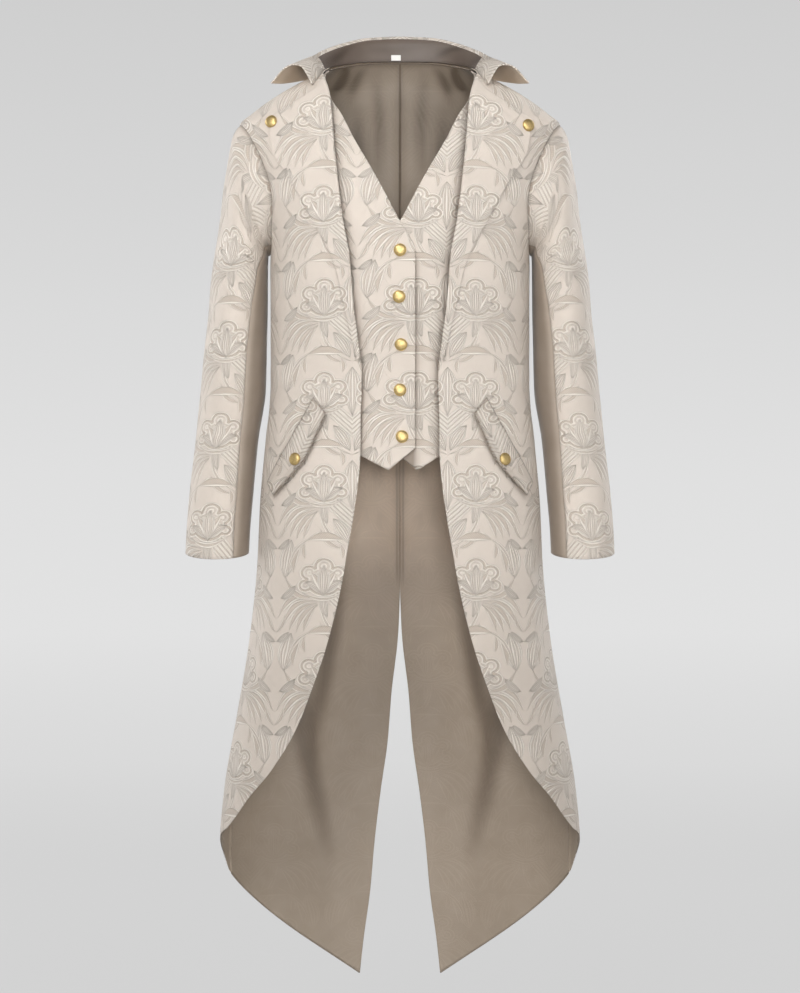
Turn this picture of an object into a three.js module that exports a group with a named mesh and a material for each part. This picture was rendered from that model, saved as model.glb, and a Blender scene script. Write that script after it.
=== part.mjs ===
// A tailcoat with a sewn-in waistcoat front, filled out as worn, with nobody in it.
// Millimetres. Z is up, the coat's front faces -Y, and the wearer's right is -X.
// The origin lies between the two shoulder points' bearing on the wearer.
import * as THREE from "three";

// Named sizes of the cloth and the trim
const CLOTH = { coat: 1.5, lining: 1.0, lapel: 1.2, vest: 1.5, collar: 2.0, flap: 2.2, label: 0.6 };
const SEAM = 0.3;
const LIE = 0.6;
const LAPEL_LIE = 1.2;
const VEST_LIE = 1.4;
const LINING_LIE = 0.45;
const BUTTON = { radius: 8.5, rim: 1.6, dome: 2.2, segments: 18 };
const COLUMNS = { panel: 8, lapel: 7, vest: 8, upperSleeve: 20, underSleeve: 8 };
const ARMHOLE = { middle: -134.5, half: 87.5, steps: 12 };

// The body of the coat, level by level: half width, depth to the front and to the
// back, squareness of the oval, and how far the side ridge lies behind the middle
const BODY = [
  { z: 51, w: 80, f: 40, b: 72, n: 2.2, ridge: 25 },
  { z: 44, w: 88, f: 44, b: 77, n: 2.2, ridge: 24 },
  { z: 36, w: 98, f: 48, b: 81, n: 2.2, ridge: 22 },
  { z: 26, w: 114, f: 53, b: 85, n: 2.2, ridge: 17 },
  { z: 16, w: 133, f: 58, b: 88, n: 2.25, ridge: 13 },
  { z: 3, w: 156, f: 65, b: 91, n: 2.3, ridge: 8 },
  { z: -14, w: 182, f: 72, b: 96, n: 2.35, ridge: 4 },
  { z: -30, w: 203, f: 79, b: 101, n: 2.4, ridge: 2 },
  { z: -47, w: 221, f: 86, b: 106, n: 2.4, ridge: 0 },
  { z: -59, w: 219, f: 90, b: 109, n: 2.4, ridge: 0 },
  { z: -73, w: 214, f: 95, b: 112, n: 2.4, ridge: 0 },
  { z: -104, w: 202, f: 104, b: 117, n: 2.4, ridge: 0 },
  { z: -142, w: 190, f: 111, b: 121, n: 2.4, ridge: 0 },
  { z: -190, w: 181, f: 117, b: 123, n: 2.4, ridge: 0 },
  { z: -222, w: 178, f: 118, b: 122, n: 2.4, ridge: 0 },
  { z: -300, w: 177, f: 113, b: 111, n: 2.4, ridge: 0 },
  { z: -408, w: 178, f: 103, b: 97, n: 2.4, ridge: 0 },
  { z: -477, w: 184, f: 106, b: 106, n: 2.4, ridge: 0 },
  { z: -560, w: 191.5, f: 112, b: 119, n: 2.3, ridge: 0 },
  { z: -648, w: 196, f: 119, b: 126, n: 2.3, ridge: 0 },
  { z: -751, w: 207, f: 124, b: 129, n: 2.2, ridge: 0 },
  { z: -853, w: 224, f: 128, b: 132, n: 2.1, ridge: 0 },
  { z: -956, w: 241, f: 131, b: 134, n: 2.1, ridge: 0 },
  { z: -1025, w: 246.5, f: 132, b: 135, n: 2.1, ridge: 0 },
  { z: -1230, w: 247.5, f: 132, b: 137, n: 2.1, ridge: 0 },
];
// Soft upright waves in the tails, in degrees round the body
const TAIL_WAVE = { top: -640, full: -1080, height: 3.5, from: 108, length: 44 };

// The tails' hem bows up between the side seam and the point
const HEM_BOW = { from: -710, to: -1073, rise: 5 };

// Front edge of the coat from the neck point down, across the thigh and round the
// side; the rows marked back lie behind the side ridge
const FRONT_EDGE = [
  { z: 36, x: 98 },
  { z: 30, x: 104 },
  { z: 24, x: 105.5 },
  { z: 19, x: 103.5 },
  { z: -13, x: 94.6 },
  { z: -74, x: 89 },
  { z: -129, x: 83.4 },
  { z: -182, x: 76.7 },
  { z: -236, x: 67.3 },
  { z: -288, x: 63.5 },
  { z: -341, x: 56.9 },
  { z: -389, x: 51.7 },
  { z: -462, x: 53.3 },
  { z: -492, x: 53.3 },
  { z: -531, x: 56.2 },
  { z: -578, x: 62.4 },
  { z: -623, x: 70.1 },
  { z: -679, x: 80.1 },
  { z: -752, x: 98.2 },
  { z: -809, x: 117.6 },
  { z: -864, x: 139.2 },
  { z: -920, x: 172.5 },
  { z: -960, x: 204.9 },
  { z: -985, x: 222 },
  { z: -1006, x: 237.5 },
];
// Below that the edge runs round the side ridge, told by angle
const EDGE_ROUND = [
  { z: -1006, angle: 79 },
  { z: -1018, angle: 86 },
  { z: -1036, angle: 98 },
];
// Armhole edge: how far out it lies at each level, in front and behind
const ARMHOLE_EDGE = [
  { z: -47, x: 221 },
  { z: -50, x: 216 },
  { z: -59, x: 208 },
  { z: -73, x: 200 },
  { z: -89, x: 192 },
  { z: -104, x: 186 },
  { z: -121, x: 180 },
  { z: -142, x: 175.4 },
  { z: -165, x: 174 },
  { z: -190, x: 175 },
  { z: -210, x: 177 },
  { z: -222, x: 178 },
];
// Where the side seam runs round the body
const SIDE_SEAM = [
  { z: -222, angle: 90 },
  { z: -260, angle: 93 },
  { z: -408, angle: 96 },
  { z: -700, angle: 100 },
  { z: -1073, angle: 108 },
];
// Half of the gap between the tails at the back vent
const VENT = [
  { z: -668, x: 0 },
  { z: -718, x: 1.4 },
  { z: -756, x: 3.5 },
  { z: -792, x: 7.7 },
  { z: -827, x: 12 },
  { z: -898, x: 17.6 },
  { z: -968, x: 27.5 },
  { z: -1039, x: 36 },
  { z: -1109, x: 42.3 },
  { z: -1180, x: 52 },
  { z: -1226, x: 57 },
];
// Rows of the two body panels: the level at the armhole or side seam, where the row
// meets the front edge, and where it meets the back neckline or the centre back
const ROWS = [
  { step: 0, front: 36, back: 36, backX: 98 },
  { step: 1, front: 30, back: 40.5, backX: 88 },
  { step: 2, front: 24, back: 44.5, backX: 75 },
  { step: 3, front: 19, back: 48, backX: 58 },
  { step: 4, front: 0, back: 50, backX: 40 },
  { step: 5, front: -25, back: 51, backX: 20 },
  { step: 6, front: -55, back: 51, backX: 0 },
  { step: 7, front: -85, back: 25, backX: 0 },
  { step: 8, front: -115, back: -12, backX: 0 },
  { step: 9, front: -145, back: -55, backX: 0 },
  { step: 10, front: -172, back: -105, backX: 0 },
  { step: 11, front: -196, back: -155, backX: 0 },
  { step: 12, front: -216, back: -200, backX: 0 },
  ...[-250, -282, -318, -355, -395, -435, -475, -520, -565, -610, -660, -710].map((z) => ({
    side: z,
    front: z,
    back: z,
    backX: 0,
  })),
  ...[-760, -810, -855, -900, -940, -972, -1000, -1024, -1044, -1060, -1073].map((z) => ({
    side: z,
    front: -710 + (z + 710) * 0.898,
    back: -710 + (z + 710) * 1.421,
  })),
];

// Lapel: its top edge from the roll line out to the tip, and its outer edge down
const LAPEL_TOP = [
  { x: 103, z: 16 },
  { x: 115.5, z: -1 },
  { x: 131, z: -12 },
  { x: 148, z: -23 },
  { x: 165.2, z: -34.5 },
  { x: 180.5, z: -44.5 },
];
const LAPEL_OUTER = [
  { z: -44.5, x: 180.5 },
  { z: -60, x: 176 },
  { z: -86, x: 172 },
  { z: -125.5, x: 148 },
  { z: -186, x: 115.2 },
  { z: -235, x: 89.6 },
  { z: -318, x: 69.6 },
  { z: -374, x: 56.2 },
];
const LAPEL_ROWS = [0, 8, 24, 50, 82, 116, 150, 184, 218, 252, 286, 316, 340];

// Waistcoat front: how far its edge lies from the middle on its own side, going past
// the middle where it is below nothing; and where its rows end under the coat
const VEST_EDGE = [
  { z: 33, x: 98 },
  { z: 26, x: 104 },
  { z: 20, x: 103.5 },
  { z: -9, x: 95.6 },
  { z: -36, x: 79.6 },
  { z: -68, x: 64 },
  { z: -100, x: 45.9 },
  { z: -137, x: 25.4 },
  { z: -183, x: 1.3 },
  { z: -214, x: -17.5 },
  { z: -222, x: -21 },
];
const VEST_SIDE = [
  { z: -6, x: 168 },
  { z: -30, x: 175 },
  { z: -52, x: 180 },
  { z: -72, x: 182 },
  { z: -92, x: 181 },
  { z: -112, x: 178 },
  { z: -142, x: 172 },
  { z: -165, x: 170.5 },
  { z: -190, x: 171.5 },
  { z: -222, x: 174.5 },
];
const VEST_ROWS = [
  { edge: 33, side: -6 },
  { edge: 26, side: -30 },
  { edge: 20, side: -52 },
  { edge: 4, side: -72 },
  { edge: -15, side: -92 },
  { edge: -40, side: -112 },
  { edge: -68, side: -134 },
  { edge: -100, side: -154 },
  { edge: -137, side: -176 },
  { edge: -183, side: -202 },
  { edge: -214, side: -224 },
  { edge: -250, side: -252 },
  { edge: -300, side: -300 },
  { edge: -350, side: -350 },
  { edge: -400, side: -400 },
  { edge: -445, side: -445 },
  { edge: -488, side: -492 },
];
const VEST = {
  right: { side: -1, overlap: 20.2, point: 16, depth: 5, corner: -488, low: -517.4, notch: 52, under: -498.6 },
  left: { side: 1, overlap: 12, point: 24.2, depth: 7.4, corner: -488, low: -517.4, notch: 53.6, under: -498.6 },
};

// Sleeve sections: inner and outer point of each, its half depth, how far behind the
// middle it lies, and the angles of the front and back seams from the outer point
const SLEEVE = [
  { xi: 180.5, zi: -224, xo: 231, zo: -66, depth: 60, y: 8, front: 150, back: 210 },
  { xi: 180.6, zi: -226, xo: 237, zo: -100, depth: 63, y: 8, front: 149, back: 211 },
  { xi: 180.7, zi: -229, xo: 242.5, zo: -134, depth: 65, y: 8, front: 148, back: 213 },
  { xi: 180.8, zi: -232, xo: 246, zo: -168, depth: 66.5, y: 8, front: 146, back: 216 },
  { xi: 180.9, zi: -235, xo: 251, zo: -203, depth: 68, y: 8, front: 142, back: 219 },
  { xi: 181, zi: -240, xo: 256.5, zo: -237, depth: 68, y: 8, front: 136, back: 222 },
  { xi: 181.2, zi: -268, xo: 260, zo: -266, depth: 66, y: 8, front: 128, back: 226 },
  { xi: 181.5, zi: -300, xo: 262.5, zo: -300, depth: 64, y: 9, front: 121, back: 230 },
  { xi: 182.5, zi: -345, xo: 268, zo: -345, depth: 61, y: 10, front: 115.5, back: 236 },
  { xi: 184.2, zi: -408, xo: 273.7, zo: -408, depth: 56, y: 12, front: 113.5, back: 241 },
  { xi: 194.5, zi: -477, xo: 281, zo: -477, depth: 52, y: 10, front: 119, back: 243 },
  { xi: 200.5, zi: -545, xo: 288, zo: -545, depth: 48, y: 2, front: 122, back: 243 },
  { xi: 205, zi: -600, xo: 292, zo: -600, depth: 45.5, y: -6, front: 123.5, back: 243 },
  { xi: 206.3, zi: -630, xo: 293.3, zo: -630, depth: 45, y: -9, front: 123.5, back: 243, tilt: 0.18 },
];

// Collar, from the centre back to its front end: the neck seam, the inside, top and
// outside of the roll, and the outer edge
const COLLAR = [
  { at: 0, seam: [0, 70.6, 51], inside: [0, 74.5, 81.5], top: [0, 81, 88], outside: [0, 87.5, 82.5], edge: [0, 93, 41] },
  { at: 25, seam: [39, 66.6, 50.2], inside: [41, 71, 79.5], top: [44, 77, 85.6], outside: [47, 83, 80], edge: [52, 90, 39] },
  { at: 45, seam: [73.7, 52.9, 44.8], inside: [76.5, 55.5, 69.5], top: [81, 60, 75.3], outside: [85.5, 65, 70], edge: [96, 73, 31] },
  { at: 65, seam: [96.8, 21.6, 36.3], inside: [102.5, 24, 55], top: [108.5, 27, 60.4], outside: [114.5, 30, 55.5], edge: [132, 39, 22.5] },
  { at: 78, seam: [103, 0, 30.3], inside: [113, 2, 46], top: [120, 5, 51], outside: [127.5, 8, 46.5], edge: [149, 18, 17] },
  { at: 88, seam: [105, -18, 24.3], inside: [121, -17, 39.5], top: [130, -14, 44], outside: [139.5, -10, 40], edge: [163, 2, 13.5] },
  { at: 100, seam: [116.5, -47, 2.5], inside: [133, -45, 30.5], top: [145, -42, 33.5], outside: [157, -37, 29.5], edge: [176, -26, 10.5] },
];
const COLLAR_LIFT = [
  { at: 0, up: 0.35 },
  { at: 70, up: 0.8 },
  { at: 78, up: 1.5 },
  { at: 88, up: 2.2 },
  { at: 100, up: 3.2 },
];
const COLLAR_STEPS = [0, 8, 16, 25, 35, 45, 55, 65, 72, 78, 83, 88, 94, 100];

// Pocket flap: the sewn edge and the free edge from the front end to the side end
const FLAP = [
  { sewnX: 116, sewnZ: -421, freeX: 99, freeZ: -442 },
  { sewnX: 127, sewnZ: -441, freeX: 108, freeZ: -463 },
  { sewnX: 139, sewnZ: -462, freeX: 117, freeZ: -484 },
  { sewnX: 152, sewnZ: -485, freeX: 127.5, freeZ: -505 },
  { sewnX: 162.5, sewnZ: -503, freeX: 139, freeZ: -519 },
  { sewnX: 171, sewnZ: -519, freeX: 154, freeZ: -536 },
  { sewnX: 178.5, sewnZ: -534.5, freeX: 168, freeZ: -551.5 },
];
const FLAP_ACROSS = 3;
const FLAP_LIFT = 3.4;

const BUTTONS = {
  vest: [
    { name: "button_waistcoat_1", x: 0, z: -224 },
    { name: "button_waistcoat_2", x: -1.3, z: -286.5 },
    { name: "button_waistcoat_3", x: 1.3, z: -350.5 },
    { name: "button_waistcoat_4", x: 0, z: -410.5 },
    { name: "button_waistcoat_5", x: 2.7, z: -473 },
  ],
  shoulder: { right: { x: 173, z: -47.5 }, left: { x: 172.4, z: -52.5 } },
  pocket: { along: 3.3, across: 0.69 },
};
const LABEL = { middle: -5.6, half: 6.5, low: 53, high: 60.5, gap: 0.5 };

const rad = THREE.MathUtils.degToRad;
const clamp = THREE.MathUtils.clamp;
const vec = (p) => new THREE.Vector3(p[0], p[1], p[2]);
const mixed = (a, b, t) => a.clone().lerp(b, t);

// A smooth curve through a table's rows that never swings past them
function curve(rows, key, value) {
  const table = [...rows].sort((a, b) => a[key] - b[key]);
  const xs = table.map((row) => row[key]);
  const ys = table.map((row) => row[value]);
  const slope = xs.slice(1).map((x, i) => (ys[i + 1] - ys[i]) / (x - xs[i]));
  const tangent = xs.map((_, i) => {
    if (i === 0) return slope[0];
    if (i === xs.length - 1) return slope[i - 1];
    const product = slope[i - 1] * slope[i];
    return product <= 0 ? 0 : (2 * product) / (slope[i - 1] + slope[i]);
  });
  return (x) => {
    const at = clamp(x, xs[0], xs[xs.length - 1]);
    let i = 0;
    while (i < xs.length - 2 && at > xs[i + 1]) i += 1;
    const h = xs[i + 1] - xs[i];
    const t = (at - xs[i]) / h;
    const a = 2 * t ** 3 - 3 * t ** 2 + 1;
    const b = t ** 3 - 2 * t ** 2 + t;
    const c = -2 * t ** 3 + 3 * t ** 2;
    const d = t ** 3 - t ** 2;
    return a * ys[i] + b * h * tangent[i] + c * ys[i + 1] + d * h * tangent[i + 1];
  };
}

const body = {
  w: curve(BODY, "z", "w"),
  f: curve(BODY, "z", "f"),
  b: curve(BODY, "z", "b"),
  n: curve(BODY, "z", "n"),
  ridge: curve(BODY, "z", "ridge"),
};

function waveAt(angle, z) {
  const grown = clamp((TAIL_WAVE.top - z) / (TAIL_WAVE.top - TAIL_WAVE.full), 0, 1);
  const round = clamp((angle - TAIL_WAVE.from) / 20, 0, 1);
  return TAIL_WAVE.height * grown * round * Math.sin((2 * Math.PI * (angle - TAIL_WAVE.from)) / TAIL_WAVE.length);
}

// A point of the coat's outside: 0 degrees is the centre front and 180 the centre back
function bodyPoint(angle, z) {
  const n = body.n(z);
  const ridge = body.ridge(z);
  const sine = Math.sin(rad(angle));
  const cosine = Math.cos(rad(angle));
  const x = body.w(z) * Math.sign(sine) * Math.abs(sine) ** (2 / n);
  const reach = Math.abs(cosine) ** (2 / n);
  const wave = waveAt(Math.abs(angle), z);
  const y = cosine > 0 ? ridge - (body.f(z) + ridge) * reach : ridge + (body.b(z) + wave - ridge) * reach;
  return new THREE.Vector3(x, y, z);
}

function bodyNormal(angle, z) {
  const round = bodyPoint(angle + 0.8, z).sub(bodyPoint(angle - 0.8, z));
  const high = clamp(z + 2, -1228, 50.9);
  const low = clamp(z - 2, -1229, 50);
  const up = bodyPoint(angle, high).sub(bodyPoint(angle, low));
  return round.cross(up).normalize();
}

function bodyAngle(x, z, behind) {
  const share = clamp(Math.abs(x) / body.w(z), 0, 1);
  const angle = THREE.MathUtils.radToDeg(Math.asin(share ** (body.n(z) / 2)));
  return Math.sign(x || 1) * (behind ? 180 - angle : angle);
}

// A point over the coat's front, moved out along the cloth's normal
function overFront(x, z, out) {
  const angle = bodyAngle(x, z, false);
  return bodyPoint(angle, z).addScaledVector(bodyNormal(angle, z), out);
}

// A closed wall between an outer and an inner grid of points
function wall(name, outer, inner, side = 1) {
  const rows = outer.length;
  const cols = outer[0].length;
  const flat = [...outer.flat(), ...inner.flat()];
  const positions = flat.flatMap((p) => [side * p.x, p.y, p.z]);
  const at = (layer, i, j) => layer * rows * cols + i * cols + j;
  const faces = [];
  const quad = (a, b, c, d) => faces.push([a, b, c], [a, c, d]);
  for (let i = 0; i < rows - 1; i += 1) {
    for (let j = 0; j < cols - 1; j += 1) {
      const falling = outer[i][j].distanceTo(outer[i + 1][j + 1]);
      const rising = outer[i][j + 1].distanceTo(outer[i + 1][j]);
      const corners = [[i, j], [i + 1, j], [i + 1, j + 1], [i, j + 1]];
      if (rising < falling * 0.97) corners.push(corners.shift());
      quad(...corners.map(([a, b]) => at(0, a, b)));
      const [a, b, c, d] = corners.map(([row, col]) => at(1, row, col));
      quad(a, d, c, b);
    }
    quad(at(0, i, 0), at(1, i, 0), at(1, i + 1, 0), at(0, i + 1, 0));
    quad(at(0, i, cols - 1), at(0, i + 1, cols - 1), at(1, i + 1, cols - 1), at(1, i, cols - 1));
  }
  for (let j = 0; j < cols - 1; j += 1) {
    quad(at(0, 0, j), at(0, 0, j + 1), at(1, 0, j + 1), at(1, 0, j));
    quad(at(0, rows - 1, j), at(1, rows - 1, j), at(1, rows - 1, j + 1), at(0, rows - 1, j + 1));
  }
  const corner = (k) => new THREE.Vector3(positions[3 * k], positions[3 * k + 1], positions[3 * k + 2]);
  const volume = faces.reduce((sum, [a, b, c]) => sum + corner(a).dot(corner(b).cross(corner(c))), 0);
  const index = faces.flatMap(([a, b, c]) => (volume > 0 ? [a, b, c] : [a, c, b]));
  const geometry = new THREE.BufferGeometry();
  geometry.setAttribute("position", new THREE.Float32BufferAttribute(positions, 3));
  geometry.setIndex(index);
  const mesh = new THREE.Mesh(geometry);
  mesh.name = name;
  return mesh;
}

// Normals of a free grid of points, made to face the way that outward says
function gridNormals(grid, outward) {
  const rows = grid.length;
  const cols = grid[0].length;
  return grid.map((row, i) =>
    row.map((p, j) => {
      const down = grid[Math.min(i + 1, rows - 1)][j].clone().sub(grid[Math.max(i - 1, 0)][j]);
      const across = grid[i][Math.min(j + 1, cols - 1)].clone().sub(grid[i][Math.max(j - 1, 0)]);
      const normal = down.cross(across).normalize();
      return normal.dot(outward(p, i, j)) < 0 ? normal.negate() : normal;
    }),
  );
}

// Draws a grid's outermost rows or columns in by a length along the cloth
function drawIn(grid, { first = 0, last = 0, top = 0, bottom = 0 }) {
  const step = (p, q, length) => {
    const gap = p.distanceTo(q);
    if (gap > 1e-6) p.lerp(q, Math.min(0.45, length / gap));
  };
  const rows = grid.length;
  const cols = grid[0].length;
  for (let i = 0; i < rows; i += 1) {
    if (first) step(grid[i][0], grid[i][1], first);
    if (last) step(grid[i][cols - 1], grid[i][cols - 2], last);
  }
  for (let j = 0; j < cols; j += 1) {
    if (top) step(grid[0][j], grid[1][j], top);
    if (bottom) step(grid[rows - 1][j], grid[rows - 2][j], bottom);
  }
  return grid;
}

const moved = (grid, normals, out) => grid.map((row, i) => row.map((p, j) => p.clone().addScaledVector(normals[i][j], out)));

const armholeX = curve(ARMHOLE_EDGE, "z", "x");
const seamAngle = curve(SIDE_SEAM, "z", "angle");
const frontX = curve(FRONT_EDGE, "z", "x");
const roundAngle = curve(EDGE_ROUND, "z", "angle");
const frontAngle = (z) => (z < EDGE_ROUND[0].z ? roundAngle(z) : bodyAngle(frontX(z), z, false));
const ventX = curve(VENT, "z", "x");

const stepLevel = (step) => ARMHOLE.middle + ARMHOLE.half * Math.cos((Math.PI * step) / ARMHOLE.steps);

// Where a row ends at the armhole or the side seam
function rowEnd(row, behind) {
  if (row.side !== undefined) return { angle: seamAngle(row.side), z: row.side };
  const z = stepLevel(row.step);
  if (row.step === 0 || row.step === ARMHOLE.steps) return { angle: 90, z };
  return { angle: bodyAngle(armholeX(z), z, behind), z };
}

// A body panel's grid of places on the body, from its middle edge to its side edge
function panelPlaces(behind) {
  return ROWS.map((row) => {
    const end = rowEnd(row, behind);
    let start = { angle: frontAngle(row.front), z: row.front };
    if (behind) {
      const x = row.backX || (row.back < -668 ? ventX(row.back) : 0);
      start = { angle: row.step === 0 ? 90 : bodyAngle(x, row.back, true), z: row.back };
    } else if (row.step === 0) {
      start = { angle: 90, z: row.front };
    }
    const low = clamp((HEM_BOW.from - end.z) / (HEM_BOW.from - HEM_BOW.to), 0, 1);
    return Array.from({ length: COLUMNS.panel + 1 }, (_, j) => {
      const t = j / COLUMNS.panel;
      const bow = behind ? HEM_BOW.rise * low ** 2 * 4 * t * (1 - t) : 0;
      return { angle: THREE.MathUtils.lerp(start.angle, end.angle, t), z: THREE.MathUtils.lerp(start.z, end.z, t) + bow };
    });
  });
}

const pointsOf = (places) => places.map((row) => row.map(({ angle, z }) => bodyPoint(angle, z)));
const normalsOf = (places) => places.map((row) => row.map(({ angle, z }) => bodyNormal(angle, z)));

function panel(name, behind, side) {
  const places = panelPlaces(behind);
  const normals = normalsOf(places);
  const edges = { first: behind ? SEAM / 2 : 0, last: SEAM / 2, top: SEAM / 2 };
  const outer = drawIn(pointsOf(places), edges);
  return wall(name, outer, moved(outer, normals, -CLOTH.coat), side);
}

// The lining is made from the back's points, moved in
function backLining(name, side) {
  const places = panelPlaces(true);
  const normals = normalsOf(places);
  const edges = { first: SEAM / 2, last: SEAM / 2, top: SEAM / 2 };
  const base = drawIn(pointsOf(places), edges);
  const outer = moved(base, normals, -CLOTH.coat - LINING_LIE);
  drawIn(outer, { bottom: 2.5 });
  return wall(name, outer, moved(outer, normals, -CLOTH.lining), side);
}

const lapelX = curve(LAPEL_OUTER, "z", "x");

// The lapel lies on the front from the roll line outwards
function lapel(name, side) {
  const topZ = curve(LAPEL_TOP, "x", "z");
  const depth = LAPEL_ROWS[LAPEL_ROWS.length - 1];
  const places = LAPEL_ROWS.map((down, i) => {
    const share = i / (LAPEL_ROWS.length - 1);
    const rollZ = LAPEL_TOP[0].z - 1.12 * down;
    const tipZ = LAPEL_OUTER[0].z - down * ((LAPEL_OUTER[0].z - LAPEL_OUTER[LAPEL_OUTER.length - 1].z) / depth);
    return Array.from({ length: COLUMNS.lapel + 1 }, (_, j) => {
      const t = j / COLUMNS.lapel;
      const roll = bodyPoint(frontAngle(rollZ), rollZ).x;
      const x = THREE.MathUtils.lerp(roll, lapelX(tipZ), t);
      const straight = THREE.MathUtils.lerp(rollZ, tipZ, t);
      const bowed = topZ(THREE.MathUtils.lerp(LAPEL_TOP[0].x, LAPEL_OUTER[0].x, t));
      const line = THREE.MathUtils.lerp(LAPEL_TOP[0].z, LAPEL_OUTER[0].z, t);
      const z = straight + (bowed - line) * (1 - share) ** 4;
      return { x, z };
    });
  });
  const outer = places.map((row) => row.map(({ x, z }) => overFront(x, z, LAPEL_LIE + CLOTH.lapel)));
  const inner = places.map((row) => row.map(({ x, z }) => overFront(x, z, LAPEL_LIE)));
  return wall(name, outer, inner, side);
}

// The waistcoat front: inside the coat, sewn in at its shoulder and side
function waistcoat(name, shape) {
  const edge = curve(VEST_EDGE, "z", "x");
  const vestX = curve(VEST_SIDE, "z", "x");
  const places = VEST_ROWS.map((row, i) => {
    const inward = -shape.overlap;
    const x = row.edge < -222 ? inward : Math.max(edge(row.edge), inward);
    const start = { angle: i === 0 ? 88 : bodyAngle(x, row.edge, false), z: row.edge };
    const z = row.side;
    const sideAngle = z > -222 ? bodyAngle(vestX(z), z, false) : Math.min(seamAngle(z), 89);
    const end = { angle: i === 0 ? 88 : sideAngle, z };
    return Array.from({ length: COLUMNS.vest + 1 }, (_, j) => {
      const t = (j / COLUMNS.vest) ** 1.15;
      return {
        angle: THREE.MathUtils.lerp(start.angle, end.angle, t),
        z: THREE.MathUtils.lerp(start.z, end.z, t),
        sunk: THREE.MathUtils.lerp(shape.depth, CLOTH.coat + VEST_LIE, Math.max(t ** 3, 1 - Math.min(1, i / 2))),
      };
    });
  });
  const hem = (x) => {
    const { point, notch, overlap, corner, low, under } = shape;
    if (x < point) return THREE.MathUtils.lerp(corner, low, clamp((x + overlap) / (point + overlap), 0, 1));
    return THREE.MathUtils.lerp(low, under, clamp((x - point) / (notch - point), 0, 1));
  };
  const last = places[places.length - 1].map((place) => ({ ...place, x: bodyPoint(place.angle, place.z).x }));
  for (const key of [shape.point, shape.notch]) {
    const near = last.reduce((a, b) => (Math.abs(a.x - key) < Math.abs(b.x - key) ? a : b));
    Object.assign(near, { x: key, angle: bodyAngle(key, shape.corner, false) });
  }
  for (const place of last) place.z = hem(place.x);
  const all = [...places, last];
  const at = (extra) => all.map((row) => row.map(({ angle, z, sunk }) => {
    return bodyPoint(angle, z).addScaledVector(bodyNormal(angle, z), -sunk - extra);
  }));
  return wall(name, at(0), at(CLOTH.vest), shape.side);
}

// The armhole edge as the sleeve meets it, by angle from the shoulder point
function armholePlace(angle) {
  const turn = ((angle % 360) + 360) % 360;
  const behind = turn > 180;
  const steps = (behind ? 360 - turn : turn) / (180 / ARMHOLE.steps);
  const low = Math.min(Math.floor(steps), ARMHOLE.steps - 1);
  const ends = [low, low + 1].map((step) => rowEnd({ step }, behind));
  const points = ends.map(({ angle: a, z }) => bodyPoint(a, z));
  const normals = ends.map(({ angle: a, z }) => bodyNormal(a, z));
  const t = steps - low;
  return { point: mixed(points[0], points[1], t), normal: mixed(normals[0], normals[1], t).normalize() };
}

function sleevePoint(section, angle) {
  const inner = new THREE.Vector3(section.xi, section.y, section.zi);
  const outer = new THREE.Vector3(section.xo, section.y, section.zo);
  const middle = mixed(inner, outer, 0.5);
  const point = middle.clone().addScaledVector(outer.clone().sub(middle), Math.cos(rad(angle)));
  point.y -= section.depth * Math.sin(rad(angle));
  point.z += (section.tilt || 0) * (point.y - section.y);
  return point;
}

// One half of a sleeve, from its back seam over to its front seam or under the arm
function sleeveHalf(name, under, side) {
  const count = under ? COLUMNS.underSleeve : COLUMNS.upperSleeve;
  const anglesAt = (section) => {
    const from = under ? section.front : section.back - 360;
    const to = under ? section.back : section.front;
    return Array.from({ length: count + 1 }, (_, j) => THREE.MathUtils.lerp(from, to, j / count));
  };
  const rings = SLEEVE.map((section) => anglesAt(section).map((angle) => sleevePoint(section, angle)));
  const centre = (i) => {
    const section = SLEEVE[i];
    return new THREE.Vector3((section.xi + section.xo) / 2, section.y, (section.zi + section.zo) / 2);
  };
  const normals = SLEEVE.map((section, i) => anglesAt(section).map((angle, j) => {
    const round = sleevePoint(section, angle + 2).sub(sleevePoint(section, angle - 2));
    const next = Math.min(i + 1, SLEEVE.length - 1);
    const before = Math.max(i - 1, 0);
    const along = sleevePoint(SLEEVE[next], angle).sub(sleevePoint(SLEEVE[before], angle));
    const normal = round.cross(along).normalize();
    return normal.dot(rings[i][j].clone().sub(centre(i))) < 0 ? normal.negate() : normal;
  }));
  const places = anglesAt(SLEEVE[0]).map((angle) => armholePlace(angle));
  const middle = new THREE.Vector3(190, 3, ARMHOLE.middle);
  const first = places.map(({ point, normal }) => {
    const into = middle.clone().sub(point);
    into.addScaledVector(normal, -into.dot(normal)).normalize();
    return point.clone().addScaledVector(into, SEAM).addScaledVector(normal, 0.1);
  });
  const outer = drawIn([first, ...rings], { first: SEAM / 2, last: SEAM / 2 });
  const allNormals = [places.map((place) => place.normal), ...normals];
  return wall(name, outer, moved(outer, allNormals, -CLOTH.coat), side);
}

// The collar: one piece from front end to front end
function collarProfile(at) {
  const parts = ["seam", "inside", "top", "outside", "edge"];
  const controls = parts.map((part) => {
    const other = ([x, y, z]) => [-x, y, z];
    const both = [...COLLAR.slice(1).map((row) => ({ at: -row.at, p: other(row[part]) })), ...COLLAR.map((row) => ({ at: row.at, p: row[part] }))];
    return vec([0, 1, 2].map((axis) => curve(both.map((row) => ({ at: row.at, v: row.p[axis] })), "at", "v")(at)));
  });
  const up = curve(COLLAR_LIFT, "at", "up")(Math.abs(at));
  controls[0].lerp(controls[1], up / controls[0].distanceTo(controls[1]));
  const path = new THREE.CatmullRomCurve3(controls, false, "centripetal");
  return [0, 0.13, 0.25, 0.375, 0.5, 0.625, 0.75, 0.87, 1].map((t) => path.getPoint(t));
}

function collarGrid() {
  const steps = [...COLLAR_STEPS.slice(1).reverse().map((at) => -at), ...COLLAR_STEPS];
  return steps.map(collarProfile);
}

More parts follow.
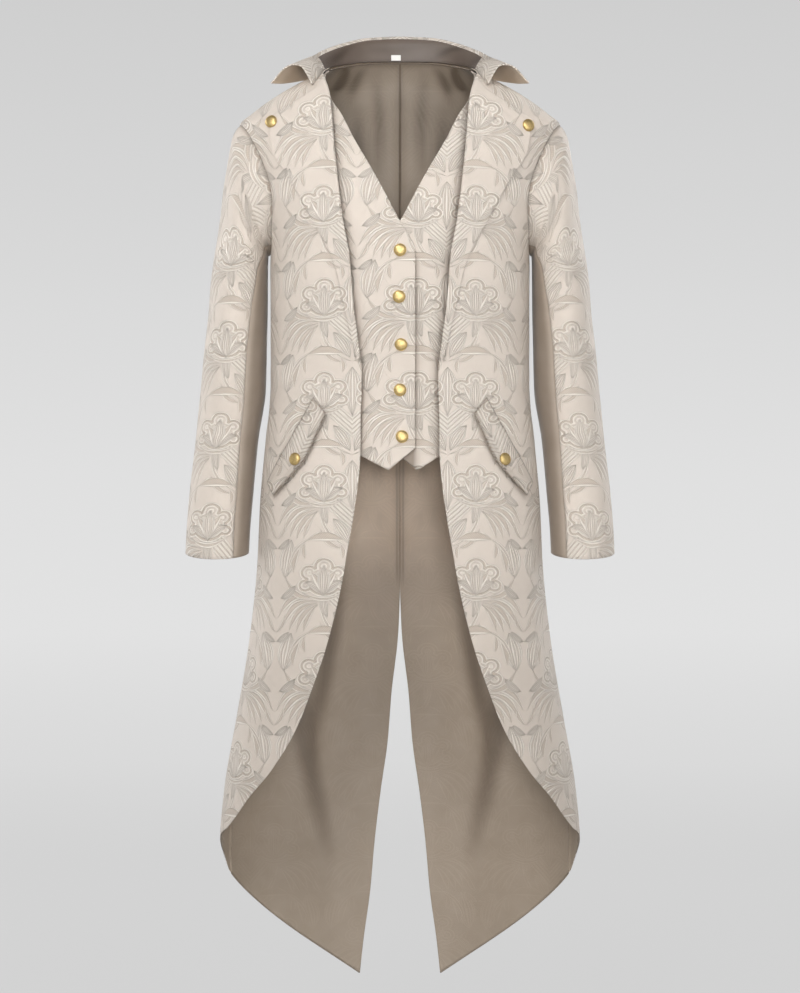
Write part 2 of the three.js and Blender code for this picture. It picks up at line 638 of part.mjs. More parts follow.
// The right side of the collar's cloth is under the roll outside and the neck inside
function collar() {
  const grid = collarGrid();
  const away = (p, i, j) => {
    const profile = grid[i];
    const seam = profile[0];
    const edge = profile[profile.length - 1];
    const middle = mixed(seam, edge, 0.5);
    const down = new THREE.Vector3(0, 0, -6);
    return p.clone().sub(middle.add(down));
  };
  const normals = gridNormals(grid, away);
  return wall("collar", grid, moved(grid, normals, -CLOTH.collar));
}

function neckLabel() {
  const inside = (x, z) => {
    const profile = collarProfile((x * COLLAR[1].at) / COLLAR[1].seam[0]);
    const above = profile.findIndex((p) => p.z > z);
    const t = (z - profile[above - 1].z) / (profile[above].z - profile[above - 1].z);
    return mixed(profile[above - 1], profile[above], t).y - LABEL.gap;
  };
  const columns = [LABEL.middle - LABEL.half, LABEL.middle + LABEL.half];
  const grid = [LABEL.high, LABEL.low].map((z) => columns.map((x) => new THREE.Vector3(x, inside(x, z), z)));
  const normals = grid.map((row) => row.map(() => new THREE.Vector3(0, -1, 0)));
  return wall("neck_label", grid, moved(grid, normals, CLOTH.label));
}

function flapPlace(row, across) {
  return { x: THREE.MathUtils.lerp(row.sewnX, row.freeX, across), z: THREE.MathUtils.lerp(row.sewnZ, row.freeZ, across) };
}

const flapOut = (across) => LIE + FLAP_LIFT * across ** 1.4;

function pocketFlap(name, side) {
  const grid = (extra) => FLAP.map((row) => Array.from({ length: FLAP_ACROSS + 1 }, (_, j) => {
    const across = j / FLAP_ACROSS;
    const { x, z } = flapPlace(row, across);
    return overFront(x, z, flapOut(across) + extra);
  }));
  return wall(name, grid(CLOTH.flap), grid(0), side);
}

// A domed button with its flat back on the cloth
function button(name, place, normal, side) {
  const { radius, rim, dome, segments } = BUTTON;
  const profile = [
    [0, 0],
    [radius - 0.6, 0],
    [radius, 0.6],
    [radius, rim],
    [radius * 0.8, rim + dome * 0.55],
    [radius * 0.45, rim + dome * 0.9],
    [0, rim + dome],
  ].map(([r, h]) => new THREE.Vector2(r, h));
  const geometry = new THREE.LatheGeometry(profile, segments);
  const facing = new THREE.Vector3(side * normal.x, normal.y, normal.z);
  geometry.applyQuaternion(new THREE.Quaternion().setFromUnitVectors(new THREE.Vector3(0, 1, 0), facing));
  geometry.translate(side * place.x, place.y, place.z);
  const mesh = new THREE.Mesh(geometry);
  mesh.name = name;
  return mesh;
}

function buttonOver(name, x, z, out, side) {
  return button(name, overFront(x, z, out), bodyNormal(bodyAngle(x, z, false), z), side);
}

// The flap's button sits square on the flap, which stands off at its free edge
function flapButton(name, side) {
  const { along, across } = BUTTONS.pocket;
  const at = (s, w) => {
    const low = Math.min(Math.floor(s), FLAP.length - 2);
    const ends = [FLAP[low], FLAP[low + 1]].map((row) => flapPlace(row, w));
    const x = THREE.MathUtils.lerp(ends[0].x, ends[1].x, s - low);
    const z = THREE.MathUtils.lerp(ends[0].z, ends[1].z, s - low);
    return overFront(x, z, flapOut(w) + CLOTH.flap);
  };
  const down = at(along + 0.4, across).sub(at(along - 0.4, across));
  const over = at(along, across + 0.3).sub(at(along, across - 0.3));
  const normal = down.cross(over).normalize();
  if (normal.y > 0) normal.negate();
  return button(name, at(along, across).addScaledVector(normal, SEAM + 0.35), normal, side);
}

const coat = new THREE.Group();
for (const { tag, side } of [{ tag: "right", side: -1 }, { tag: "left", side: 1 }]) {
  coat.add(panel(`front_${tag}`, false, side));
  coat.add(panel(`back_${tag}`, true, side));
  coat.add(backLining(`back_lining_${tag}`, side));
  coat.add(sleeveHalf(`sleeve_upper_${tag}`, false, side));
  coat.add(sleeveHalf(`sleeve_under_${tag}`, true, side));
  coat.add(lapel(`lapel_${tag}`, side));
  coat.add(waistcoat(`waistcoat_${tag}`, VEST[tag]));
  coat.add(pocketFlap(`pocket_flap_${tag}`, side));
  const onLapel = BUTTONS.shoulder[tag];
  coat.add(buttonOver(`button_shoulder_${tag}`, onLapel.x, onLapel.z, LAPEL_LIE + CLOTH.lapel + SEAM + 0.15, side));
  coat.add(flapButton(`button_pocket_${tag}`, side));
}
coat.add(collar());
coat.add(neckLabel());
for (const { name, x, z } of BUTTONS.vest) {
  coat.add(buttonOver(name, x, z, SEAM - VEST.right.depth, 1));
}

export default coat;
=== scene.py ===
"""Looks of an ivory brocade tailcoat, filled out as worn, with nobody in it.

The coat's outside is a tall oval told level by level in BodyForm, the same form as the
solids have. Each class builds one part of the coat over it: every piece of cloth is a thin
closed shell with soft creases laid in, and a UV map in metres of its own cloth.
Tables are in millimetres, and meshes are in metres.
"""

import logging
from dataclasses import dataclass, field, replace
from enum import Enum
from functools import reduce
from typing import Callable

import bpy
import numpy as np
from mathutils import Matrix, Vector


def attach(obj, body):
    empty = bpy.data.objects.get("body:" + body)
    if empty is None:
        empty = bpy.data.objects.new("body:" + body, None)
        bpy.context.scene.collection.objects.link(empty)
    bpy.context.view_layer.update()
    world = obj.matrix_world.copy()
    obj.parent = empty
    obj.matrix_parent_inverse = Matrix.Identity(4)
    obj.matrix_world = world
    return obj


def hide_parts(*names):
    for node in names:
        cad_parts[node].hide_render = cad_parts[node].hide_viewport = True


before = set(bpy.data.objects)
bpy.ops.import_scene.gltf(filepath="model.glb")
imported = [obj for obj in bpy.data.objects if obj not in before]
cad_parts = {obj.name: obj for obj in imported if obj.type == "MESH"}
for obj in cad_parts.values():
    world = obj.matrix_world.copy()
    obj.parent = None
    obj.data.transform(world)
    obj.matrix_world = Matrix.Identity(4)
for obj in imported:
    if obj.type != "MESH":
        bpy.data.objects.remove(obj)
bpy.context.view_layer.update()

LOG = logging.getLogger("tailcoat")
MM = 0.001
# where the brocade's mirror line and flowers fall on the fronts, in millimetres
FRONT_MIRROR = 64.0
FLOWER_LEVEL = -164.5
Array = np.ndarray
NodeTree, Node, Socket = bpy.types.NodeTree, bpy.types.Node, bpy.types.NodeSocket
Material, Piece = bpy.types.Material, bpy.types.Object


class Slot(Enum):
    """The record's material slots."""

    BROCADE = "brocade"
    LINING = "satin_lining"
    SATIN = "plain_satin"
    TAPE = "label_tape"
    BRASS = "brass"


class Held(Enum):
    """How a sheet of cloth is held."""

    HUNG = "hung"
    FOLDED = "folded"
    LAID = "laid"


class SmoothCurve:
    """A smooth curve through a table that never swings past the table's rows."""

    def __init__(self, rows: list[tuple[float, float]]) -> None:
        """Sorts the rows and works out the slope at each.

        Args:
            rows: pairs of a place and the value there.
        """
        table = np.array(sorted(rows), float)
        self.at, self.value = table[:, 0], table[:, 1]
        slope = np.diff(self.value) / np.diff(self.at)
        self.tangent = np.empty_like(self.at)
        self.tangent[0], self.tangent[-1] = slope[0], slope[-1]
        product = slope[:-1] * slope[1:]
        total = slope[:-1] + slope[1:]
        safe = np.where(product > 0, total, 1)
        self.tangent[1:-1] = np.where(product > 0, 2 * product / safe, 0)

    def __call__(self, place: Array) -> Array:
        """The curve's value at each place.

        Args:
            place: places, held to the table's ends.

        Returns:
            One value for each place.
        """
        x = np.clip(np.asarray(place, float), self.at[0], self.at[-1])
        i = np.clip(np.searchsorted(self.at, x) - 1, 0, len(self.at) - 2)
        h = self.at[i + 1] - self.at[i]
        t = (x - self.at[i]) / h
        a = 2 * t**3 - 3 * t**2 + 1
        b = t**3 - 2 * t**2 + t
        d = t**3 - t**2
        low, high = self.value[i], self.value[i + 1]
        return a * low + (1 - a) * high + h * (b * self.tangent[i] + d * self.tangent[i + 1])


def column(rows: list[tuple], at: int, value: int) -> SmoothCurve:
    """A smooth curve of a table's column number value over its column number at."""
    return SmoothCurve([(row[at], row[value]) for row in rows])


def unit(vectors: Array) -> Array:
    """Vectors of the same directions, one long."""
    return vectors / np.maximum(np.linalg.norm(vectors, axis=-1, keepdims=True), 1e-9)


def blended(low: Array, high: Array, share: Array) -> Array:
    """A straight mix from low to high."""
    return low + (high - low) * share


def eased(share: Array) -> Array:
    """A share from 0 to 1, made to start and stop softly."""
    t = np.clip(share, 0, 1)
    return t * t * (3 - 2 * t)


def bell(away: Array, reach: float) -> Array:
    """1 at no distance, fading softly to nothing within a few reaches."""
    return np.exp(-((away / reach) ** 2))


def seam_dip(away: Array, reach: float, depth: float) -> Array:
    """How far cloth sinks towards a seam, by its distance from the seam."""
    return depth * bell(away, reach)


def deepest(*layers: Array) -> Array:
    """The largest of several layers at each place."""
    return reduce(np.maximum, layers)


def between(points: Array, others: Array) -> Array:
    """Distances from points to other points."""
    return np.linalg.norm(points - others, axis=-1)


def run_along(points: Array, axis: int) -> Array:
    """Lengths of the way along one axis of a grid of points, from 0 at its first ones."""
    steps = np.linalg.norm(np.diff(points, axis=axis), axis=-1)
    first = np.zeros_like(np.take(steps, [0], axis=axis))
    return np.concatenate([first, np.cumsum(steps, axis=axis)], axis=axis)


def linked(name: str, data: bpy.types.ID) -> Piece:
    """A new object in the scene."""
    made = bpy.data.objects.new(name, data)
    bpy.context.scene.collection.objects.link(made)
    return made


@dataclass(frozen=True)
class Creases:
    """Soft troughs, or ridges where the depth is below zero.

    Each row gives a start, an end, a width, a depth and a bow, in millimetres. The start
    and the end are in the piece's own two measures: across and down.
    """

    # how fast a crease ends past its two points, and how its depth fades towards them
    PAST = 0.35
    FADE = (0.08, 0.84, 0.8)

    rows: tuple

    def sink(self, across: Array, down: Array) -> Array:
        """How far the creases together sink the cloth at each place.

        Args:
            across: the places' first measure.
            down: the places' second measure.

        Returns:
            Depths in millimetres.
        """
        total = np.zeros_like(across, float)
        first, run, power = self.FADE
        for x, z, end_x, end_z, width, depth, bow in self.rows:
            way_x, way_z = end_x - x, end_z - z
            length = np.hypot(way_x, way_z)
            along = ((across - x) * way_x + (down - z) * way_z) / length**2
            aside = ((across - x) * way_z - (down - z) * way_x) / length
            t = np.clip(along, 0, 1)
            aside = aside - bow * 4 * t * (1 - t)
            past = (along - t) * length
            near = np.exp(-(aside**2 + self.PAST * past**2) / width**2)
            total = total + depth * near * np.sin(np.pi * (first + run * t)) ** power
        return total


@dataclass
class ClothGrid:
    """Rows and columns of points on a piece of cloth, with the way out and the UV there."""

    # an edge moves no more than this share of its own cell
    MOST_DRAWN = 0.45

    points: Array
    normals: Array
    uv: Array
    shade: Array | None = None

    def moved(self, out: Array | float) -> "ClothGrid":
        """The same grid moved out along its normals, by so many millimetres."""
        return replace(self, points=self.points + self.normals * np.asarray(out)[..., None])

    def drawn_in(self, first: float, last: float, top: float, bottom: float) -> "ClothGrid":
        """The same grid with its edges moved in along the cloth, for a seam's gap.

        Args:
            first, last: millimetres at the first and the last column.
            top, bottom: millimetres at the first and the last row.

        Returns:
            The narrower grid.
        """
        p = self.points.copy()
        edges = (
            (np.s_[:, 0], np.s_[:, 1], first), (np.s_[:, -1], np.s_[:, -2], last),
            (np.s_[0], np.s_[1], top), (np.s_[-1], np.s_[-2], bottom),
        )
        for edge, inner, length in edges:
            if length:
                way = p[inner] - p[edge]
                gap = np.maximum(np.linalg.norm(way, axis=-1, keepdims=True), 1e-6)
                p[edge] = p[edge] + way * np.minimum(self.MOST_DRAWN, length / gap)
        return replace(self, points=p)

    def shaded(self, shade: Array) -> "ClothGrid":
        """The same grid with its painted shade in seams, folds and shadows, from 0 to 1."""
        return replace(self, shade=np.clip(shade, 0, 1))

    def area(self) -> float:
        """The grid's own area in square metres."""
        p = self.points * MM
        a = p[1:, :-1] - p[:-1, :-1]
        b = p[:-1, 1:] - p[:-1, :-1]
        c = p[1:, 1:] - p[:-1, 1:]
        d = p[1:, 1:] - p[1:, :-1]
        one = np.linalg.norm(np.cross(a, b), axis=-1)
        two = np.linalg.norm(np.cross(c, d), axis=-1)
        return float((one + two).sum() / 2)


def spaced(cells: int, edge: tuple[float, ...] = (0.004, 0.012)) -> Array:
    """Even places from 0 to 1 with a few more, as edge gives, close to both ends."""
    extra = np.array(edge)
    return np.unique(np.concatenate([np.linspace(0, 1, cells + 1), extra, 1 - extra]))


@dataclass
class ClothShell:
    """A thin closed shell of cloth over a grid, with a rounded rim all round.

    The thickness goes inwards from the grid. Side is 1 for the wearer's left, and -1 for
    the mirrored right.
    """

    # how far the rim stands out, as a share of the thickness
    ROUND = 0.32

    name: str
    grid: ClothGrid
    thickness: float
    side: int = 1

    @staticmethod
    def _rim(rows: int, cols: int) -> Array:
        """The grid's boundary, once round, as places in one layer."""
        index = np.arange(rows * cols).reshape(rows, cols)
        return np.concatenate([index[0, :-1], index[:-1, -1], index[-1, :0:-1], index[:0:-1, 0]])

    def build(self, outside: Callable[[Array], Array] | None = None) -> Piece:
        """Makes the mesh.

        Args:
            outside: gives the material number of each outer cell from its row and column
                places, where it isn't all 0. The inner layer takes number 1.

        Returns:
            The finished object, at the origin, with slots still empty.
        """
        rows, cols = self.grid.points.shape[:2]
        count = rows * cols
        outer = self.grid.points.reshape(-1, 3)
        normals = unit(self.grid.normals).reshape(-1, 3)
        inner = outer - normals * self.thickness
        rim = self._rim(rows, cols)
        middle = (outer[rim] + inner[rim]) / 2
        along = np.roll(middle, -1, axis=0) - np.roll(middle, 1, axis=0)
        away = unit(np.cross(along, normals[rim]))
        inward = self._inward(rows, cols, outer)[rim]
        away *= np.where((away * inward).sum(1) > 0, -1, 1)[:, None]
        hub = middle + away * self.thickness * self.ROUND
        verts = np.concatenate([outer, inner, hub]) * MM
        verts[:, 0] *= self.side

        index = np.arange(count).reshape(rows, cols)
        cell = np.stack([index[:-1, :-1], index[1:, :-1], index[1:, 1:], index[:-1, 1:]], -1)
        cell = cell.reshape(-1, 4)
        after = np.roll(np.arange(len(rim)), -1)
        ring = 2 * count + np.arange(len(rim))
        upper = np.stack([rim, rim[after], ring[after], ring], -1)
        lower = np.stack([ring, ring[after], count + rim[after], count + rim], -1)
        faces = np.concatenate([cell, cell[:, ::-1] + count, upper, lower])
        if self._volume(verts, faces) < 0:
            faces = faces[:, ::-1]

        mesh = bpy.data.meshes.new(self.name)
        mesh.from_pydata(verts.tolist(), [], faces.tolist())
        uv = self.grid.uv.reshape(-1, 2) * MM
        flat = np.concatenate([uv, uv, uv[rim]])
        layer = mesh.uv_layers.new(name="Cloth")
        layer.data.foreach_set("uv", flat[faces.reshape(-1)].astype(np.float32).reshape(-1))
        number = np.zeros(len(faces), np.int32)
        number[len(cell) : 2 * len(cell)] = 1
        number[-len(rim) :] = 1
        if outside is not None:
            given = outside(np.indices((rows - 1, cols - 1)))
            number[: len(cell)] = given
            row, col = np.minimum(rim // cols, rows - 2), np.minimum(rim % cols, cols - 2)
            number[2 * len(cell) :] = np.tile(given[row * (cols - 1) + col], 2)
        if self.grid.shade is not None:
            # the painted shade of every point, on both layers and round the rim
            shade = self.grid.shade.reshape(-1)
            painted_shade = np.concatenate([shade, shade, shade[rim]]).astype(np.float32)
            mesh.attributes.new("Shade", "FLOAT", "POINT").data.foreach_set("value", painted_shade)
        mesh.polygons.foreach_set("material_index", number)
        mesh.polygons.foreach_set("use_smooth", np.ones(len(faces), bool))
        mesh.update()
        return linked(self.name, mesh)

    @staticmethod
    def _inward(rows: int, cols: int, outer: Array) -> Array:
        """For each point, the way towards the middle of its own row and column."""
        grid = outer.reshape(rows, cols, 3)
        way = np.zeros_like(grid)
        way[:, 0] += unit(grid[:, 1] - grid[:, 0])
        way[:, -1] += unit(grid[:, -2] - grid[:, -1])
        way[0] += unit(grid[1] - grid[0])
        way[-1] += unit(grid[-2] - grid[-1])
        return way.reshape(-1, 3)

    @staticmethod
    def _volume(verts: Array, faces: Array) -> float:
        """Six times the volume that the faces close in."""
        a, b, c, d = (verts[faces[:, k]] for k in range(4))
        return float((a * np.cross(b, c)).sum() + (a * np.cross(c, d)).sum())


@dataclass(frozen=True)
class BodyForm:
    """The coat's outside round the body: an oval at each level, and the creases in it."""

    # level, half width, depth to the front, depth to the back, squareness, side ridge
    levels: tuple = (
        (51, 80, 40, 72, 2.2, 25), (44, 88, 44, 77, 2.2, 24), (36, 98, 48, 81, 2.2, 22),
        (26, 114, 53, 85, 2.2, 17), (16, 133, 58, 88, 2.25, 13), (3, 156, 65, 91, 2.3, 8),
        (-14, 182, 72, 96, 2.35, 4), (-30, 203, 79, 101, 2.4, 2), (-47, 221, 86, 106, 2.4, 0),
        (-59, 219, 90, 109, 2.4, 0), (-73, 214, 95, 112, 2.4, 0), (-104, 202, 104, 117, 2.4, 0),
        (-142, 190, 111, 121, 2.4, 0), (-190, 181, 117, 123, 2.4, 0),
        (-222, 178, 118, 122, 2.4, 0), (-300, 177, 113, 111, 2.4, 0),
        (-408, 178, 103, 97, 2.4, 0), (-477, 184, 106, 106, 2.4, 0),
        (-560, 191.5, 112, 119, 2.3, 0), (-648, 196, 119, 126, 2.3, 0),
        (-751, 207, 124, 129, 2.2, 0), (-853, 224, 128, 132, 2.1, 0),
        (-956, 241, 131, 134, 2.1, 0), (-1025, 246.5, 132, 135, 2.1, 0),
        (-1230, 247.5, 132, 137, 2.1, 0),
    )
    bottom: float = -1230
    top: float = 51
    wave_top: float = -640
    wave_full: float = -1080
    wave_height: float = 3.5
    wave_from: float = 108
    wave_soft: float = 20
    wave_length: float = 44
    # places are degrees round from the centre front times per_degree, and the level
    per_degree: float = 2.8
    # the creases are deeper behind, from so far round and over so much
    deeper_behind: float = 1.1
    deeper_from: float = 200
    deeper_reach: float = 70
    # half the spans that the slopes are measured over, in degrees and millimetres
    slope_round: float = 0.8
    slope_down: float = 2
    # how finely the lengths round the body are measured
    length_levels: int = 80
    length_degrees: int = 180
    creases: Creases = Creases((
        (79, 4, 83, -62, 4.5, 1.3, 1), (91, -4, 96, -52, 4, -0.8, 1),
        (104, -14, 112, -50, 5, 0.7, -1), (152, -34, 126, -112, 13, 1.1, 5),
        (96, -290, 128, -372, 18, 0.9, -6), (86, -430, 120, -520, 16, 0.8, 5),
        (248, -8, 236, -66, 9, 1.0, 3), (214, -58, 196, -102, 8, 0.9, -4),
        (226, -100, 200, -128, 7, 0.7, 3), (244, -176, 206, -214, 13, 1.3, -5),
        (250, -214, 190, -262, 15, 1.2, 6), (246, -372, 176, -352, 17, 0.9, 5),
        (250, -402, 160, -412, 15, 1.2, -5), (250, -436, 198, -452, 16, 0.8, 4),
        (150, -560, 128, -742, 26, 1.2, -8), (206, -570, 222, -860, 24, 1.8, 9),
        (176, -640, 176, -840, 20, -1.1, 5), (268, -640, 282, -1000, 22, 1.6, -7),
        (330, -690, 350, -1020, 26, 2.0, 8), (392, -640, 410, -1090, 22, 1.7, -8),
        (448, -700, 462, -1120, 18, 1.4, 5), (340, -190, 296, -246, 16, 1.6, -6),
        (372, -206, 310, -290, 17, 1.4, 7), (420, -150, 372, -196, 18, 1.0, 5),
        (300, -388, 404, -404, 16, 1.5, -7), (318, -424, 452, -430, 14, 1.2, 5),
        (290, -360, 350, -352, 15, 0.9, 4), (496, -392, 424, -378, 15, 1.0, 4),
        (470, -60, 430, -112, 20, 0.9, -5),
    ))

    def __post_init__(self) -> None:
        """Lays the smooth curves through the levels."""
        names = ("width", "front", "back", "square", "ridge")
        for number, name in enumerate(names, 1):
            object.__setattr__(self, "_" + name, column(self.levels, 0, number))

    def _wave(self, angle: Array, z: Array) -> Array:
        """The tails' soft upright waves."""
        grown = np.clip((self.wave_top - z) / (self.wave_top - self.wave_full), 0, 1)
        rounded = np.clip((angle - self.wave_from) / self.wave_soft, 0, 1)
        turn = 2 * np.pi * (angle - self.wave_from) / self.wave_length
        return self.wave_height * grown * rounded * np.sin(turn)

    def point(self, angle: Array, z: Array) -> Array:
        """Points of the coat's outside.

        Args:
            angle: degrees round from the centre front, 180 at the centre back.
            z: levels.

        Returns:
            Points in millimetres.
        """
        square, ridge = self._square(z), self._ridge(z)
        sine, cosine = np.sin(np.radians(angle)), np.cos(np.radians(angle))
        x = self._width(z) * np.sign(sine) * np.abs(sine) ** (2 / square)
        reach = np.abs(cosine) ** (2 / square)
        front = ridge - (self._front(z) + ridge) * reach
        back = ridge + (self._back(z) + self._wave(np.abs(angle), z) - ridge) * reach
        return np.stack([x, np.where(cosine > 0, front, back), z + 0 * x], -1)

    def normal(self, angle: Array, z: Array) -> Array:
        """The ways out of the coat at each place.

        Args:
            angle: degrees round from the centre front.
            z: levels.

        Returns:
            Unit vectors.
        """
        turn, step = self.slope_round, self.slope_down
        rounded = self.point(angle + turn, z) - self.point(angle - turn, z)
        high = np.clip(z + step, self.bottom + 2, self.top - 0.1)
        low = np.clip(z - step, self.bottom + 1, self.top - 1)
        return unit(np.cross(rounded, self.point(angle, high) - self.point(angle, low)))

    def angle(self, x: Array, z: Array, behind: bool) -> Array:
        """Degrees round at which the outside lies so far from the middle.

        Args:
            x: distances from the middle.
            z: levels.
            behind: whether the back is meant.

        Returns:
            Angles in degrees.
        """
        share = np.clip(np.abs(x) / self._width(z), 0, 1)
        found = np.degrees(np.arcsin(share ** (self._square(z) / 2)))
        return np.where(np.asarray(x) < 0, -1, 1) * (180 - found if behind else found)

    def creased(self, angle: Array, z: Array) -> Array:
        """How far the body's creases sink the cloth at each place."""
        across = np.abs(angle) * self.per_degree
        far = eased((across - self.deeper_from) / self.deeper_reach)
        deeper = 1 + self.deeper_behind * far
        return self.creases.sink(across, z) * deeper

    def round_length(self, angle: Array, z: Array, from_back: bool) -> Array:
        """Lengths of cloth round the body from the centre front or centre back.

        Args:
            angle: degrees round.
            z: levels.
            from_back: whether lengths start at the centre back.

        Returns:
            Lengths in millimetres.
        """
        degrees = np.linspace(0, self.length_degrees, self.length_degrees + 1)
        levels = np.linspace(self.bottom, self.top, self.length_levels)
        ring = self.point(degrees[None, :], levels[:, None] + 0 * degrees[None, :])
        total = run_along(ring, 1)
        if from_back:
            total = total[:, -1:] - total
        last = self.length_levels - 1
        row = np.clip((z - self.bottom) / ((self.top - self.bottom) / last), 0, last - 0.001)
        col = np.clip(np.abs(angle), 0, self.length_degrees - 0.001)
        i, j = row.astype(int), col.astype(int)
        s, t = row - i, col - j
        low = blended(total[i, j], total[i, j + 1], t)
        high = blended(total[i + 1, j], total[i + 1, j + 1], t)
        return blended(low, high, s) * np.where(angle < 0, -1, 1)

    def over_front(self, x: Array, z: Array, out: Array | float) -> tuple[Array, Array]:
        """Points over the coat's front, and the ways out there.

        Args:
            x: distances from the middle.
            z: levels.
            out: millimetres out of the cloth.

        Returns:
            The points and the unit vectors.
        """
        angle = self.angle(x, z, False)
        normal = self.normal(angle, z)
        sunk = self.creased(angle, z)
        return self.point(angle, z) + normal * (np.asarray(out) - sunk)[..., None], normal


BODY = BodyForm()


@dataclass(frozen=True)
class PanelCut:
    """How the coat's front and back are cut over the body, row by row."""

    front_edge: tuple = (
        (36, 98), (30, 104), (24, 105.5), (19, 103.5), (-13, 94.6), (-74, 89), (-129, 83.4),
        (-182, 76.7), (-236, 67.3), (-288, 63.5), (-341, 56.9), (-389, 51.7), (-462, 53.3),
        (-492, 53.3), (-531, 56.2), (-578, 62.4), (-623, 70.1), (-679, 80.1), (-752, 98.2),
        (-809, 117.6), (-864, 139.2), (-920, 172.5), (-960, 204.9), (-985, 222), (-1006, 237.5),
    )
    edge_round: tuple = ((-1006, 79), (-1018, 86), (-1036, 98))
    armhole_edge: tuple = (
        (-47, 221), (-50, 216), (-59, 208), (-73, 200), (-89, 192), (-104, 186), (-121, 180),
        (-142, 175.4), (-165, 174), (-190, 175), (-210, 177), (-222, 178),
    )
    side_seam: tuple = ((-222, 90), (-260, 93), (-408, 96), (-700, 100), (-1073, 108))
    vent: tuple = (
        (-668, 0), (-718, 1.4), (-756, 3.5), (-792, 7.7), (-827, 12), (-898, 17.6), (-968, 27.5),
        (-1039, 36), (-1109, 42.3), (-1180, 52), (-1226, 57),
    )
    # level at the front edge, level at the back neck or centre back, and how far from
    # the middle that is, for each step round the armhole
    armhole_rows: tuple = (
        (36, 36, 98), (30, 40.5, 88), (24, 44.5, 75), (19, 48, 58), (0, 50, 40), (-25, 51, 20),
        (-55, 51, 0), (-85, 25, 0), (-115, -12, 0), (-145, -55, 0), (-172, -105, 0),
        (-196, -155, 0), (-216, -200, 0),
    )
    side_levels: tuple = (-250, -282, -318, -355, -395, -435, -475, -520, -565, -610, -660, -710)
    tail_levels: tuple = (-760, -810, -855, -900, -940, -972, -1000, -1024, -1044, -1060, -1073)
    armhole_middle: float = -134.5
    armhole_half: float = 87.5
    armhole_steps: int = 12
    bow_from: float = -710
    bow_to: float = -1073
    bow_rise: float = 5
    # the tails' rows, longer than tail_levels behind and shorter in front
    tail_stretch: tuple = (0.898, 1.421)

    def __post_init__(self) -> None:
        """Lays the smooth curves through the tables."""
        for name in ("front_edge", "edge_round", "armhole_edge", "side_seam", "vent"):
            object.__setattr__(self, "_" + name, column(getattr(self, name), 0, 1))

    def front_angle(self, z: Array) -> Array:
        """Degrees round at which the coat's front edge runs at each level."""
        over = BODY.angle(self._front_edge(z), z, False)
        return np.where(z < self.edge_round[0][0], self._edge_round(z), over)

    def armhole_end(self, step: Array, behind: bool) -> tuple[Array, Array]:
        """The armhole's edge, by steps down from the shoulder point.

        Args:
            step: steps, from 0 at the top to armhole_steps under the arm.
            behind: whether the back half is meant.

        Returns:
            Angles round the body, and levels.
        """
        z = self.armhole_middle + self.armhole_half * np.cos(np.pi * step / self.armhole_steps)
        angle = BODY.angle(self._armhole_edge(z), z, behind)
        ends = (step < 1e-6) | (step > self.armhole_steps - 1e-6)
        return np.where(ends, 90, angle), z

    def side_angle(self, z: Array) -> Array:
        """Degrees round at which the side seam runs at each level."""
        return self._side_seam(z)

    def places(self, behind: bool, per_row: int, across: Array) -> tuple[Array, Array]:
        """A body panel's grid of places, from its middle edge to its side.

        Args:
            behind: whether the back is meant.
            per_row: how many rows lie between two of the table's.
            across: shares of the way from the middle edge to the side.

        Returns:
            Angles round the body, and levels.
        """
        side, tail = np.array(self.side_levels, float), np.array(self.tail_levels, float)
        arm = np.array(self.armhole_rows, float)
        tail_start = self.bow_from + (tail - self.bow_from) * self.tail_stretch[behind]
        start_z = np.concatenate([arm[:, 1 if behind else 0], side, tail_start])
        back_x = np.concatenate([arm[:, 2], 0 * side, 0 * tail])
        rows = np.arange(len(start_z))
        fine = np.linspace(0, len(start_z) - 1, (len(start_z) - 1) * per_row + 1)
        z0 = np.interp(fine, rows, start_z)
        if behind:
            x = np.interp(fine, rows, back_x)
            x = np.where(z0 < self.vent[0][0], self._vent(z0), x)
            a0 = BODY.angle(x, z0, True)
        else:
            a0 = self.front_angle(z0)
        a0[0] = 90
        steps = self.armhole_steps
        a1, z1 = self.armhole_end(np.minimum(fine, steps), behind)
        below = np.concatenate([[arm[-1, 1]], side, tail])
        below[0] = self.armhole_middle - self.armhole_half
        low = np.interp(fine, rows[steps:], below)
        z1 = np.where(fine > steps, low, z1)
        a1 = np.where(fine > steps, self.side_angle(z1), a1)
        angle = blended(a0[:, None], a1[:, None], across[None, :])
        z = blended(z0[:, None], z1[:, None], across[None, :])
        if behind:
            down = np.clip((self.bow_from - z1) / (self.bow_from - self.bow_to), 0, 1)
            z = z + self.bow_rise * (down**2)[:, None] * (4 * across * (1 - across))[None, :]
        return angle, z


CUT = PanelCut()


def body_uv(angle: Array, z: Array, behind: bool = False) -> Array:
    """The cloth's own places, across from the centre back or the fronts' mirror line."""
    start = 0 if behind else FRONT_MIRROR
    return np.stack([BODY.round_length(angle, z, behind) - start, z - FLOWER_LEVEL], -1)


def linear(red: float, green: float, blue: float) -> tuple[float, float, float, float]:
    """A colour told as 0 to 255 on a screen, as a shader takes it."""
    share = np.array([red, green, blue]) / 255
    low = share / 12.92
    high = ((share + 0.055) / 1.055) ** 2.4
    return (*(float(c) for c in np.where(share > 0.04045, high, low)), 1.0)


WHITE = (1.0, 1.0, 1.0, 1.0)
# what is left of each colour where the painted shade in seams, folds and shadows is deepest
PAINTED_SHADE_TINT = (0.2, 0.155, 0.115, 1.0)
TURN = 2 * np.pi


def feed(tree: NodeTree, socket: Socket, value: object) -> None:
    """Links a signal or a socket into a socket, or sets the socket to a plain value."""
    source = value.socket if isinstance(value, Signal) else value
    if isinstance(source, Socket):
        tree.links.new(source, socket)
    else:
        socket.default_value = source


